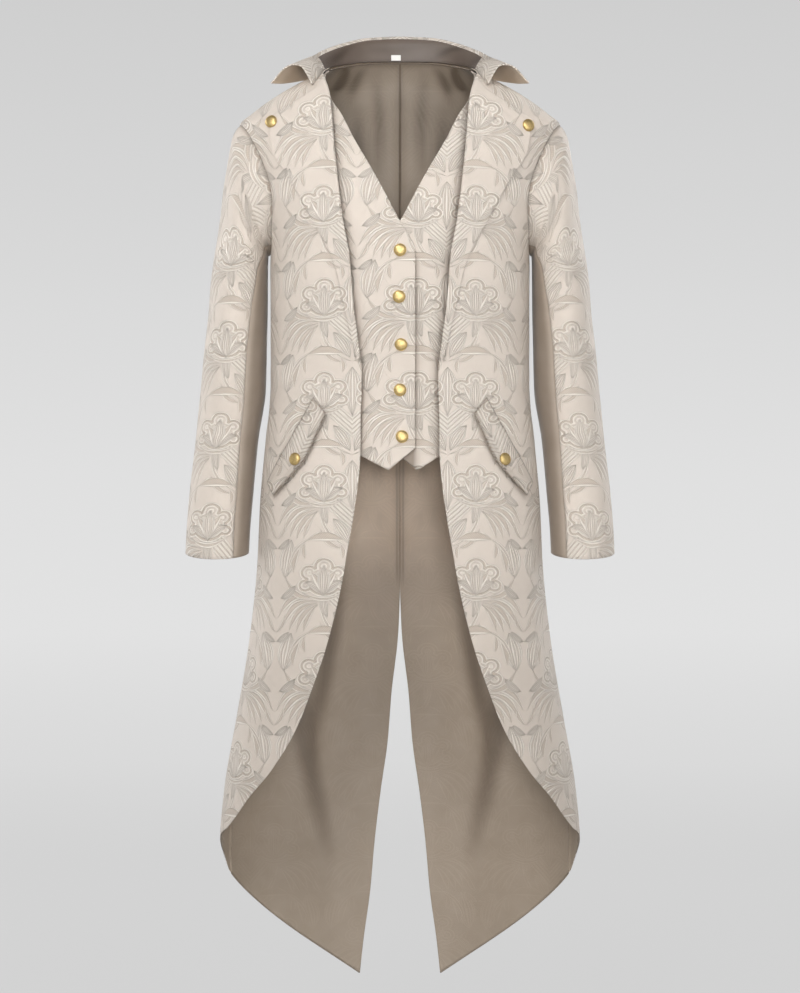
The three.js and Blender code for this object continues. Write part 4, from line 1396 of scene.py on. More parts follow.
@dataclass
class BodyPanels:
    """The fronts, the backs and the backs' lining."""

    finishes: Finishes
    coat: float = 1.5
    lining: float = 1.0
    lining_lie: float = 0.45
    seam: float = 0.3
    rows_between: int = 8
    columns: int = 60
    lining_rows: int = 5
    lining_columns: int = 40
    lining_edge: tuple = (0.004, 0.009, 0.014, 0.018, 0.022, 0.027, 0.034)
    lining_ease: float = 0.35
    lining_hem: float = 2.5
    seam_reach: float = 2.4
    seam_depth: float = 1.3
    # the centre seam ends softly at the vent, and is wide and double below wide_seam
    vent_from: float = -690
    vent_reach: float = 40
    wide_seam: float = -350
    # painted shade in the seams beside the arm, in front and behind, and in the others
    arm_shade: tuple = (0.9, 0.45)
    seam_shade: float = 0.3
    # painted shade that darkens the panels towards the hem, from tail_from over tail_reach
    tail_shade: float = 0.15
    tail_from: float = -520
    tail_reach: float = 330
    # places are millimetres from the middle, and the level
    lining_creases: Creases = Creases((
        (76, 48, 94, 12, 6, 2.6, 4), (52, 44, 70, 4, 7, 1.5, -3), (98, -10, 84, -72, 9, 1.8, 4),
        (34, 30, 30, -92, 8, 1.2, 3), (60, -20, 44, -150, 10, 1.5, -5),
        (16, -428, 32, -520, 7, 1.4, 3), (10, -474, 58, -506, 6, 1.1, -3),
        (86, -640, 130, -900, 14, 1.5, 6), (152, -760, 102, -1050, 16, 1.5, -7),
    ))

    def _grid(self, behind: bool, rows: int, across: Array) -> tuple[ClothGrid, Array]:
        """A panel's outer face, creased, and the soft dips at its seams.

        Args:
            behind: whether the back is meant.
            rows: rows between two of the cut's.
            across: shares of the way across.

        Returns:
            The grid, and the dips' depths that it doesn't have yet.
        """
        angle, z = CUT.places(behind, rows, across)
        points = BODY.point(angle, z)
        half = self.seam / 2
        grid = ClothGrid(points, BODY.normal(angle, z), body_uv(angle, z, behind))
        grid = grid.drawn_in(half if behind else 0, half, half, 0)
        from_top = between(points, points[:1])
        from_middle = between(points, points[:, :1])
        above_vent = eased((z - self.vent_from) / self.vent_reach)
        depths = [seam_dip(from_top, self.seam_reach, self.seam_depth),
                  seam_dip(between(points, points[:, -1:]), self.seam_reach, self.seam_depth)]
        if behind:
            centre = seam_dip(from_middle, self.seam_reach, self.seam_depth)
            depths.append(above_vent * centre)
        dip = deepest(*depths)
        at_arm = np.arange(len(points))[:, None] / rows < CUT.armhole_steps
        strength = np.where(at_arm, self.arm_shade[behind], self.seam_shade)
        shades = [strength * (dip / self.seam_depth) ** 2,
                  self.tail_shade * eased((self.tail_from - z) / self.tail_reach)]
        x = points[..., 0]
        if not behind:
            shades.append(0.5 * Lapel(self.finishes).shadow(x, z))
            shades.append(0.75 * PocketFlap(self.finishes).shadow(x, z))
        if behind and rows == self.lining_rows:
            folds = self.lining_creases.sink(np.abs(x), z)
            grid = grid.moved(-np.maximum(folds, 0))
            shades.append(np.clip(folds / 1.7, 0, 0.85))
            # painted shadow under the collar's seam, along the lining's top
            shades += [0.9 * bell(from_top, 2.4), 0.42 * bell(from_top, 10)]
            # painted shade in two lines beside the seam below, where the seam is wide, and in one
            # above
            wide = 0.7 * (bell(from_middle - 4.2, 1.3) + 0.8 * bell(from_middle, 0.9))
            seam = np.where(z < self.wide_seam, wide, bell(from_middle, 2.4))
            shades.append(deepest(seam, 0.35 * bell(from_middle, 9)) * above_vent)
        return grid.shaded(deepest(*shades)).moved(-BODY.creased(angle, z)), dip

    def build(self, side: int) -> None:
        """Makes one side's front, back and lining.

        Args:
            side: 1 for the wearer's left, -1 for the right.
        """
        two = (self.finishes.brocade, self.finishes.lining)
        for behind, name, flat in ((False, "front", (0.34, 1.10)), (True, "back", (0.36, 1.30))):
            grid, dip = self._grid(behind, self.rows_between, spaced(self.columns))
            sheet = Sheet(f"{name}_{tag(side)}", Slot.BROCADE, two, self.coat, flat)
            sheet.sew(grid.moved(-dip), side, grid.area())
        columns = spaced(self.lining_columns, self.lining_edge)
        grid, _ = self._grid(True, self.lining_rows, columns)
        below = grid.moved(-self.coat - self.lining_lie - self.lining_ease)
        lining = (self.finishes.lining,) * 2
        Sheet(
            f"back_lining_{tag(side)}", Slot.LINING, lining, self.lining, (0.36, 1.30)
        ).sew(below.drawn_in(0, 0, 0, self.lining_hem), side)


@dataclass
class Sleeve:
    """An upper and an under half sleeve."""

    finishes: Finishes
    # inner and outer point, half depth, how far behind, and the two seams' angles
    sections: tuple = (
        (180.5, -224, 231, -66, 60, 8, 150, 210, 0), (180.6, -226, 237, -100, 63, 8, 149, 211, 0),
        (180.7, -229, 242.5, -134, 65, 8, 148, 213, 0),
        (180.8, -232, 246, -168, 66.5, 8, 146, 216, 0),
        (180.9, -235, 251, -203, 68, 8, 142, 219, 0),
        (181, -240, 256.5, -237, 68, 8, 136, 222, 0),
        (181.2, -268, 260, -266, 66, 8, 128, 226, 0),
        (181.5, -300, 262.5, -300, 64, 9, 121, 230, 0),
        (182.5, -345, 268, -345, 61, 10, 115.5, 236, 0),
        (184.2, -408, 273.7, -408, 56, 12, 113.5, 241, 0),
        (194.5, -477, 281, -477, 52, 10, 119, 243, 0),
        (200.5, -545, 288, -545, 48, 2, 122, 243, 0),
        (205, -600, 292, -600, 45.5, -6, 123.5, 243, 0),
        (206.3, -630, 293.3, -630, 45, -9, 123.5, 243, 0.18),
    )
    thickness: float = 1.5
    seam: float = 0.3
    rows_between: int = 7
    upper_columns: int = 64
    under_columns: int = 24
    middle: tuple = (190, 3, -134.5)
    flower_angle: float = 76
    flower_level: float = -219
    under_shade: float = 0.5
    under_reach: float = 15.0
    # shares of the way from the armhole to the first ring, and how far that part bulges
    cap: tuple = (0.0, 0.12, 0.3, 0.55, 0.8)
    cap_bulge: float = 1.4
    deeper: float = 1.6
    # places are degrees from the outer point times 1.1, and rows down times 45
    creases: Creases = Creases((
        (60, 250, 130, 300, 12, 1.6, 5), (70, 300, 134, 336, 11, 1.3, -4),
        (20, 340, 110, 372, 13, 0.9, 5), (30, 70, 66, 190, 17, 0.9, -6),
        (88, 60, 104, 170, 12, 1.0, 4), (60, 420, 128, 440, 14, 0.9, -4),
        (10, 470, 90, 500, 15, 0.7, 5), (-80, 250, -20, 300, 14, 1.2, 5),
        (-90, 330, -10, 356, 14, 1.3, -5), (-60, 90, -50, 200, 17, 0.9, 5),
        (-70, 420, 0, 446, 15, 0.9, 4),
    ))

    def _ring(self, row: Array, angle: Array) -> Array:
        """Points of the sleeve.

        Args:
            row: places down the table, whole or between rows.
            angle: degrees round from the outer point, 90 in front.

        Returns:
            Points in millimetres.
        """
        table = np.array(self.sections, float)
        rows = np.arange(len(table))
        xi, zi, xo, zo, deep, y, _, _, tilt = (
            SmoothCurve(list(zip(rows, table[:, k])))(row) for k in range(9)
        )
        share = np.cos(np.radians(angle)) * 0.5 + 0.5
        x, z = blended(xi, xo, share), blended(zi, zo, share)
        forward = deep * np.sin(np.radians(angle))
        return np.stack([x, y - forward, z - tilt * forward], -1)

    def _armhole(self, angle: Array) -> tuple[Array, Array]:
        """The armhole's edge as the sleeve meets it, by angle from the shoulder point.

        Args:
            angle: degrees.

        Returns:
            Points, and the ways out of the coat there.
        """
        turn = np.mod(angle, 360)
        behind = turn > 180
        step = np.where(behind, 360 - turn, turn) / (180 / CUT.armhole_steps)
        front, level = CUT.armhole_end(step, False)
        back, _ = CUT.armhole_end(step, True)
        around = np.where(behind, back, front)
        return BODY.point(around, level), BODY.normal(around, level)

    def _tube(self, under: bool) -> tuple[Array, Array, Array, Array]:
        """One half below its cap.

        Args:
            under: whether the half under the arm is meant.

        Returns:
            Points, ways out, angles, and places down the table.
        """
        table = np.array(self.sections, float)
        rows = np.arange(len(table))
        last = len(table) - 1
        fine = np.linspace(0, last, last * self.rows_between + 1)
        front = np.interp(fine, rows, table[:, 6])
        back = np.interp(fine, rows, table[:, 7])
        start, end = (front, back) if under else (back - 360, front)
        across = spaced(self.under_columns if under else self.upper_columns, (0.006, 0.018))
        angle = blended(start[:, None], end[:, None], across[None, :])
        row = fine[:, None] + 0 * angle
        points = self._ring(row, angle)
        round_way = self._ring(row, angle + 2) - self._ring(row, angle - 2)
        low, high = np.clip(row + 0.5, 0, last), np.clip(row - 0.5, 0, last)
        normals = unit(np.cross(round_way, self._ring(low, angle) - self._ring(high, angle)))
        centre = (self._ring(row, angle) + self._ring(row, angle + 180)) / 2
        normals *= np.sign(((points - centre) * normals).sum(-1))[..., None]
        return points, normals, angle, fine

    def _capped(self, points: Array, normals: Array, angle: Array) -> tuple[Array, Array]:
        """Carries one half up over its cap to the armhole.

        Args:
            points: the half's points below the cap.
            normals: the ways out there.
            angle: the angles there.

        Returns:
            Points and ways out with the cap's rows first.
        """
        edge, edge_out = self._armhole(angle[0])
        into = np.array(self.middle) - edge
        into = unit(into - edge_out * (into * edge_out).sum(-1)[:, None])
        first = edge + into * self.seam + edge_out * 0.1
        caps, cap_out = [], []
        for share in self.cap:
            bulge = np.sin(np.pi * share) * self.cap_bulge
            out = unit(blended(edge_out, normals[0], share))
            caps.append(blended(first, points[0], share) + out * bulge)
            cap_out.append(out)
        return np.concatenate([np.array(caps), points]), np.concatenate([cap_out, normals])

    def _half(self, under: bool) -> ClothGrid:
        """One half's outer face.

        Args:
            under: whether the half under the arm is meant.

        Returns:
            The grid.
        """
        points, normals, angle, fine = self._tube(under)
        points, normals = self._capped(points, normals, angle)
        angle = np.concatenate([np.repeat(angle[:1], len(self.cap), 0), angle])
        down = np.concatenate([(np.array(self.cap) - 1) * 12, fine * 45])
        sunk = self.deeper * self.creases.sink(angle * 1.1, down[:, None] + 0 * angle)
        long = run_along(points, 1)
        outer = np.argmin(np.abs(angle - (180 if under else self.flower_angle)), axis=1)
        zero = np.take_along_axis(long, outer[:, None], 1)
        sheer = between(points[1:], points[:-1]).mean(axis=1)
        fall = np.concatenate([[0], np.cumsum(sheer)])
        level = np.take_along_axis(points[..., 2], outer[:, None], 1)[:, 0]
        fall -= np.interp(-self.flower_level, -level, fall)
        uv = np.stack([CHART.middle + zero - long, 0 * long - fall[:, None]], -1)
        grid = ClothGrid(points, normals, uv).drawn_in(self.seam / 2, self.seam / 2, 0, 0)
        from_cap = between(points, points[:1])
        sides = [between(points, seam) for seam in (points[:, :1], points[:, -1:])]
        inward = deepest(
            seam_dip(from_cap, 2.6, 1.3), *(seam_dip(away, 2.2, 0.9) for away in sides)
        )
        shade = np.maximum(seam_dip(from_cap, 1.8, 0.8), seam_dip(from_cap, 9.0, 0.22))
        shade = shade * np.where(points[..., 1] > 20, 0.6, 1.0)
        shade = deepest(shade, *(seam_dip(away, 1.6, 0.5) for away in sides))
        if under:
            shade = np.maximum(shade, self.under_shade * eased(sides[0] / self.under_reach))
        return grid.shaded(shade).moved(-sunk - inward)

    def build(self, side: int) -> None:
        """Makes one sleeve's two halves.

        Args:
            side: 1 for the wearer's left, -1 for the right.
        """
        halves = (("upper", Slot.BROCADE, self.finishes.brocade, (0.24, 0.62)),
                  ("under", Slot.SATIN, self.finishes.satin, (0.12, 0.60)))
        for half, slot, outer, (wide, long) in halves:
            grid = self._half(half == "under")
            # the cut is at least as wide as its cloth, less a little for the curves
            flat = (max(wide, grid.area() / long / 0.98), long)
            both = (outer, self.finishes.lining)
            name = f"sleeve_{half}_{tag(side)}"
            Sheet(name, slot, both, self.thickness, flat).sew(grid, side)


@dataclass
class Lapel:
    """A lapel that lies on the front from the roll line outwards."""

    finishes: Finishes
    top: tuple = ((103, 16), (115.5, -1), (131, -12), (148, -23), (165.2, -34.5), (180.5, -44.5))
    outer: tuple = (
        (-44.5, 180.5), (-60, 176), (-86, 172), (-125.5, 148), (-186, 115.2), (-235, 89.6),
        (-318, 69.6), (-374, 56.2),
    )
    long: float = 340
    roll_slope: float = 1.12
    lie: float = 1.2
    thickness: float = 1.2
    shade_reach: float = 2.6
    rows: int = 110
    columns: int = 24

    def shadow(self, x: Array, z: Array) -> Array:
        """The soft shade on the front just outside the lapel's edge.

        Args:
            x: distances from the middle.
            z: levels.

        Returns:
            The shade, from 0 to 1.
        """
        edge = column(self.outer, 0, 1)(z)
        inside = (z < self.outer[0][0]) & (z > self.outer[-1][0])
        deep = 0.15 + 0.85 * eased((-190 - z) / 80)
        return np.where(inside, deep * bell(np.maximum(x - edge + 1, 0), self.shade_reach), 0)

    def build(self, side: int) -> None:
        """Makes one lapel.

        Args:
            side: 1 for the wearer's left, -1 for the right.
        """
        outer = column(self.outer, 0, 1)
        (start_x, start_z), (low, far) = self.top[0], self.outer[0]
        share = (np.linspace(0, 1, self.rows + 1) ** 1.15)[:, None]
        across = spaced(self.columns, (0.02, 0.05))[None, :]
        down = share * self.long
        roll_z = start_z - self.roll_slope * down
        tip_z = low - down * ((low - self.outer[-1][0]) / self.long)
        roll = BODY.point(CUT.front_angle(roll_z), roll_z)[..., 0]
        x = blended(roll, outer(tip_z), across)
        bowed = column(self.top, 0, 1)(blended(start_x, far, across))
        line = blended(start_z, low, across)
        z = blended(roll_z, tip_z, across) + (bowed - line) * (1 - share) ** 4
        width = np.abs(outer(tip_z) - roll)
        from_roll, from_edge = across * width, (1 - across) * width
        rolled = 1.2 * bell(from_roll, 7) * eased(from_roll / 1.5)
        lifted = 0.5 * bell(from_edge, 9) * np.clip(1 - share * 0.8, 0, 1)
        out = self.lie + self.thickness + rolled + lifted
        points, normals = BODY.over_front(x, z, out + 0 * x)
        grid = ClothGrid(points, normals, body_uv(BODY.angle(x, z, False), z))
        Sheet(
            f"lapel_{tag(side)}", Slot.BROCADE, (self.finishes.brocade,) * 2, self.thickness,
            (0.1, 0.4), Held.FOLDED,
        ).sew(grid, side)


@dataclass(frozen=True)
class VestShape:
    """What differs between the two waistcoat fronts."""

    side: int
    overlap: float
    point: float
    depth: float
    notch: float
    pattern: float
    corner: float = -488
    low: float = -517.4
    under: float = -498.6


@dataclass
class Waistcoat:
    """The two waistcoat fronts, sewn in at the shoulder and the side."""

    finishes: Finishes
    edge: tuple = (
        (33, 98), (26, 104), (20, 103.5), (-9, 95.6), (-36, 79.6), (-68, 64), (-100, 45.9),
        (-137, 25.4), (-183, 1.3), (-214, -17.5), (-222, -21),
    )
    side_edge: tuple = (
        (-6, 168), (-30, 175), (-52, 180), (-72, 182), (-92, 181), (-112, 178), (-142, 172),
        (-165, 170.5), (-190, 171.5), (-222, 174.5),
    )
    rows: tuple = (
        (33, -6), (26, -30), (20, -52), (4, -72), (-15, -92), (-40, -112), (-68, -134),
        (-100, -154), (-137, -176), (-183, -202), (-214, -224), (-250, -252), (-300, -300),
        (-350, -350), (-400, -400), (-445, -445), (-488, -492),
    )
    shapes: tuple = (
        VestShape(-1, 20.2, 16, 5, 52, 53.7),
        VestShape(1, 12, 24.2, 7.4, 53.6, -FRONT_MIRROR),
    )
    coat: float = 1.5
    lie: float = 1.4
    thickness: float = 1.5
    rows_between: int = 7
    columns: int = 56
    tuck: float = 3.0
    tuck_reach: float = 5.0
    placket_tuck: float = 1.6
    v_foot: float = -222
    hem_rows: int = 6
    creases: Creases = Creases((
        (14, -246, 74, -262, 9, 0.7, 3), (10, -312, 80, -306, 10, 0.8, -4),
        (12, -372, 84, -384, 10, 0.9, 4), (16, -432, 86, -424, 9, 0.7, -3),
        (30, -120, 80, -196, 12, 0.7, 5), (-8, -268, -4, -440, 6, -0.4, 1),
    ))

    def _places(self, shape: VestShape) -> tuple[Array, Array, Array, Array]:
        """One front's places over the body, row by row, down to its hem.

        Args:
            shape: which of the two.

        Returns:
            Shares across, angles, levels, and depths under the coat's outside.
        """
        table = np.array(self.rows, float)
        count = len(table)
        fine = np.linspace(0, count - 1, (count - 1) * self.rows_between + 1)
        edge_z = np.interp(fine, np.arange(count), table[:, 0])
        side_z = np.interp(fine, np.arange(count), table[:, 1])
        edge_x = column(self.edge, 0, 1)(edge_z)
        edge_x = np.where(edge_z < self.v_foot, -shape.overlap, np.maximum(edge_x, -shape.overlap))
        start = BODY.angle(edge_x, edge_z, False)
        above = BODY.angle(column(self.side_edge, 0, 1)(side_z), side_z, False)
        end = np.where(side_z > self.v_foot, above, np.minimum(CUT.side_angle(side_z), 89))
        start[0] = end[0] = 88
        across = spaced(self.columns, (0.006, 0.016)) ** 1.15
        angle = blended(start[:, None], end[:, None], across[None, :])
        z = blended(edge_z[:, None], side_z[:, None], across[None, :])
        ease = np.maximum(across[None, :] ** 3, 1 - np.minimum(1, fine / 2)[:, None])
        low = self._hem(BODY.point(angle[-1], z[-1])[:, 0], shape)
        extra = np.linspace(0, 1, self.hem_rows + 1)[1:, None]
        z = np.concatenate([z, blended(z[-1][None, :], low[None, :], extra)])
        angle = np.concatenate([angle, np.repeat(angle[-1:], self.hem_rows, 0)])
        ease = np.concatenate([ease, np.repeat(ease[-1:], self.hem_rows, 0)])
        return across, angle, z, ease

    def _grid(self, shape: VestShape) -> ClothGrid:
        """One front's outer face.

        Args:
            shape: which of the two.

        Returns:
            The grid.
        """
        across, angle, z, ease = self._places(shape)
        sunk = blended(shape.depth, self.coat + self.lie, ease)
        points = BODY.point(angle, z)
        x = points[..., 0]
        crease = self.creases.sink(x, z) * (1 - np.clip(across, 0, 1))[None, :]
        uv = np.stack([BODY.round_length(angle, z, False) + shape.pattern, z - FLOWER_LEVEL], -1)
        grid = ClothGrid(points, BODY.normal(angle, z), uv)
        under = x - BODY.point(CUT.front_angle(z), z)[..., 0]
        tucked = self.tuck * bell(np.minimum(under + 1, 0), self.tuck_reach)
        tucked = tucked * eased((z + 520) / 20) * eased((30 - z) / 30) * np.clip(1 - ease, 0, 1)
        shade = np.maximum(
            0.85 * bell(np.minimum(under + 0.5, 0), 2.4), 0.3 * bell(np.minimum(under, 0), 9)
        )
        shade = np.where(z < -540, 0, shade)
        if shape.side > 0:
            past = np.maximum(x - self.shapes[0].overlap, 0)
            below = eased((self.v_foot - z) / 20)
            tucked = tucked + self.placket_tuck * bell(past, self.tuck_reach) * below
            shade = deepest(shade, bell(past, 3.0) * below, 0.3 * bell(past, 8) * below)
        return grid.shaded(shade).moved(-sunk - crease - BODY.creased(angle, z) - tucked)

    @staticmethod
    def _hem(x: Array, shape: VestShape) -> Array:
        """The hem's level, down to the point and up again under the coat."""
        reach = np.clip((x + shape.overlap) / (shape.point + shape.overlap), 0, 1)
        first = blended(shape.corner, shape.low, reach)
        rise = np.clip((x - shape.point) / (shape.notch - shape.point), 0, 1)
        return np.where(x < shape.point, first, blended(shape.low, shape.under, rise))

    def build(self) -> None:
        """Makes both fronts."""
        two = (self.finishes.brocade, self.finishes.lining)
        for shape in self.shapes:
            name = f"waistcoat_{tag(shape.side)}"
            sheet = Sheet(name, Slot.BROCADE, two, self.thickness, (0.27, 0.58))
            sheet.sew(self._grid(shape), shape.side)


@dataclass
class Collar:
    """The collar, from front end to front end, and the small blank label inside it."""

    finishes: Finishes
    # share of the way round, then seam, inside, top, outside and edge
    profiles: tuple = (
        (0, (0, 70.6, 51), (0, 74.5, 81.5), (0, 81, 88), (0, 87.5, 82.5), (0, 93, 41)),
        (25, (39, 66.6, 50.2), (41, 71, 79.5), (44, 77, 85.6), (47, 83, 80), (52, 90, 39)),
        (45, (73.7, 52.9, 44.8), (76.5, 55.5, 69.5), (81, 60, 75.3), (85.5, 65, 70),
         (96, 73, 31)),
        (65, (96.8, 21.6, 36.3), (102.5, 24, 55), (108.5, 27, 60.4), (114.5, 30, 55.5),
         (132, 39, 22.5)),
        (78, (103, 0, 30.3), (113, 2, 46), (120, 5, 51), (127.5, 8, 46.5), (149, 18, 17)),
        (88, (105, -18, 24.3), (121, -17, 39.5), (130, -14, 44), (139.5, -10, 40),
         (163, 2, 13.5)),
        (100, (116.5, -47, 2.5), (133, -45, 30.5), (145, -42, 33.5), (157, -37, 29.5),
         (176, -26, 10.5)),
    )
    lifts: tuple = ((0, 0.35), (70, 0.8), (78, 1.5), (88, 2.2), (100, 3.2))
    thickness: float = 2.0
    steps: int = 88
    around: int = 36
    # places are along the collar's table, and millimetres up from the neck seam
    creases: Creases = Creases((
        (-62, 4, -40, 30, 5, 1.0, 3), (-80, 10, -66, 36, 5, 0.8, -3), (30, 6, 54, 28, 5, 1.0, -3),
        (66, 8, 84, 34, 5, 0.8, 3), (-30, 18, 22, 22, 6, 0.5, 2), (-30, 62, -55, 88, 6, 0.6, 2),
        (26, 60, 60, 84, 6, 0.6, -2),
    ))
    # how much of the roll, and of the way round, the darker satin of painted shade covers
    stand_share: float = 0.36
    shaded_satin_share: float = 0.74
    label_middle: float = -5.6
    label_half: float = 6.5
    label_low: float = 53
    label_high: float = 60.5
    label_gap: float = 0.5
    label_thickness: float = 0.6

    def _profile(self, at: float, shares: Array) -> Array:
        """Points over the collar's roll at one place round the neck.

        Args:
            at: the place, 0 at the centre back and 100 at the left front end.
            shares: shares of the way from the seam to the edge.

        Returns:
            Points in millimetres.
        """
        control = []
        for part in range(1, 6):
            rows = [(row[0], row[part]) for row in self.profiles]
            both = [(-p, (-q[0], q[1], q[2])) for p, q in rows[1:]] + rows
            control.append([float(SmoothCurve([(p, q[k]) for p, q in both])(at)) for k in range(3)])
        points = np.array(control)
        up = float(column(self.lifts, 0, 1)(abs(at)))
        points[0] += unit(points[1] - points[0]) * up
        return self._centripetal(points, shares)

    @staticmethod
    def _centripetal(points: Array, shares: Array) -> Array:
        """A centripetal curve through five points, with its ends carried on straight."""
        ends = [2 * points[0] - points[1], *points, 2 * points[-1] - points[-2]]
        p = np.array(ends)
        gap = np.linalg.norm(np.diff(p, axis=0), axis=1) ** 0.5
        found = []
        for share in shares:
            run = share * (len(points) - 1)
            i = min(int(run), len(points) - 2)
            t = run - i
            p0, p1, p2, p3 = p[i : i + 4]
            d0, d1, d2 = gap[i : i + 3]
            m1 = ((p1 - p0) / d0 - (p2 - p0) / (d0 + d1) + (p2 - p1) / d1) * d1
            m2 = ((p2 - p1) / d1 - (p3 - p1) / (d1 + d2) + (p3 - p2) / d2) * d1
            a, b = 2 * p1 - 2 * p2 + m1 + m2, -3 * p1 + 3 * p2 - 2 * m1 - m2
            found.append(a * t**3 + b * t**2 + m1 * t + p1)
        return np.array(found)

    def _grid(self) -> ClothGrid:
        """The collar's outer face, the neck side of the stand and the top of the fall."""
        places = np.linspace(-100, 100, self.steps + 1)
        shares = spaced(self.around, (0.006, 0.016))
        points = np.array([self._profile(at, shares) for at in places])
        normals = unit(np.cross(np.gradient(points, axis=0), np.gradient(points, axis=1)))
        middle = (points[:, :1] + points[:, -1:]) / 2 + np.array([0, 0, -6])
        normals *= np.sign(((points - middle) * normals).sum(-1))[..., None]
        over = run_along(points, 1)
        along = run_along(points[:, points.shape[1] // 2], 0)
        along = along - along[len(along) // 2]
        uv = np.stack([along[:, None] + 0 * over, -over - 12], -1)
        place = np.abs(places)[:, None] + 0 * over
        folds = self.creases.sink(places[:, None] + 0 * over, over)
        shade = np.maximum(0.6 * bell(over, 2.5), np.clip(folds / 1.6, 0, 0.6))
        shade = np.where(place > 97, np.maximum(shade, 0.1), shade)
        return ClothGrid(points, normals, uv, shade).moved(-folds)

    def _facing(self, cells: Array) -> Array:
        """The darker satin of painted shade on the stand's neck side, between the front ends.

        Args:
            cells: rows and columns of the outer cells.

        Returns:
            The material number of each.
        """
        row, col = cells
        centre = self.steps / 2
        near = np.abs(row + 0.5 - centre) / centre
        stand = (col < self.around * self.stand_share) & (near < self.shaded_satin_share)
        return np.where(stand, 2, 0).reshape(-1)

    def build(self) -> None:
        """Makes the collar and the label."""
        grid = self._grid()
        three = (self.finishes.brocade, self.finishes.wing, self.finishes.neck)
        flat = (0.52, 0.105)
        collar = Sheet("collar", Slot.BROCADE, three, self.thickness, flat, Held.FOLDED)
        collar.sew(grid, area=min(grid.area(), 0.054), outside=self._facing)
        self._label()

    def _label(self) -> None:
        """Makes the blank label, a tape that follows the stand."""
        columns = np.linspace(-self.label_half, self.label_half, 27) + self.label_middle
        levels = np.linspace(self.label_high, self.label_low, 17)
        shares = np.linspace(0, 0.3, 60)
        points = np.zeros((len(levels), len(columns), 3))
        seam = self.profiles[1]
        for j, x in enumerate(columns):
            profile = self._profile(x * seam[0] / seam[1][0], shares)
            y = np.interp(levels, profile[:, 2], profile[:, 1]) - self.label_gap
            points[:, j] = np.stack([0 * y + x, y, levels], -1)
        edge = np.minimum(
            np.minimum(columns - columns[0], columns[-1] - columns)[None, :],
            np.minimum(levels[0] - levels, levels - levels[-1])[:, None],
        )
        points[..., 1] += 0.12 * bell(edge - 1.6, 0.5)
        normals = np.zeros_like(points)
        normals[..., 1] = 1
        grid = ClothGrid(points, normals, points[..., [0, 2]])
        Sheet(
            "neck_label", Slot.TAPE, (self.finishes.tape,) * 2, self.label_thickness,
            (0.013, 0.0102), Held.LAID, "tape",
        ).sew(grid, area=min(grid.area(), 0.0001326))


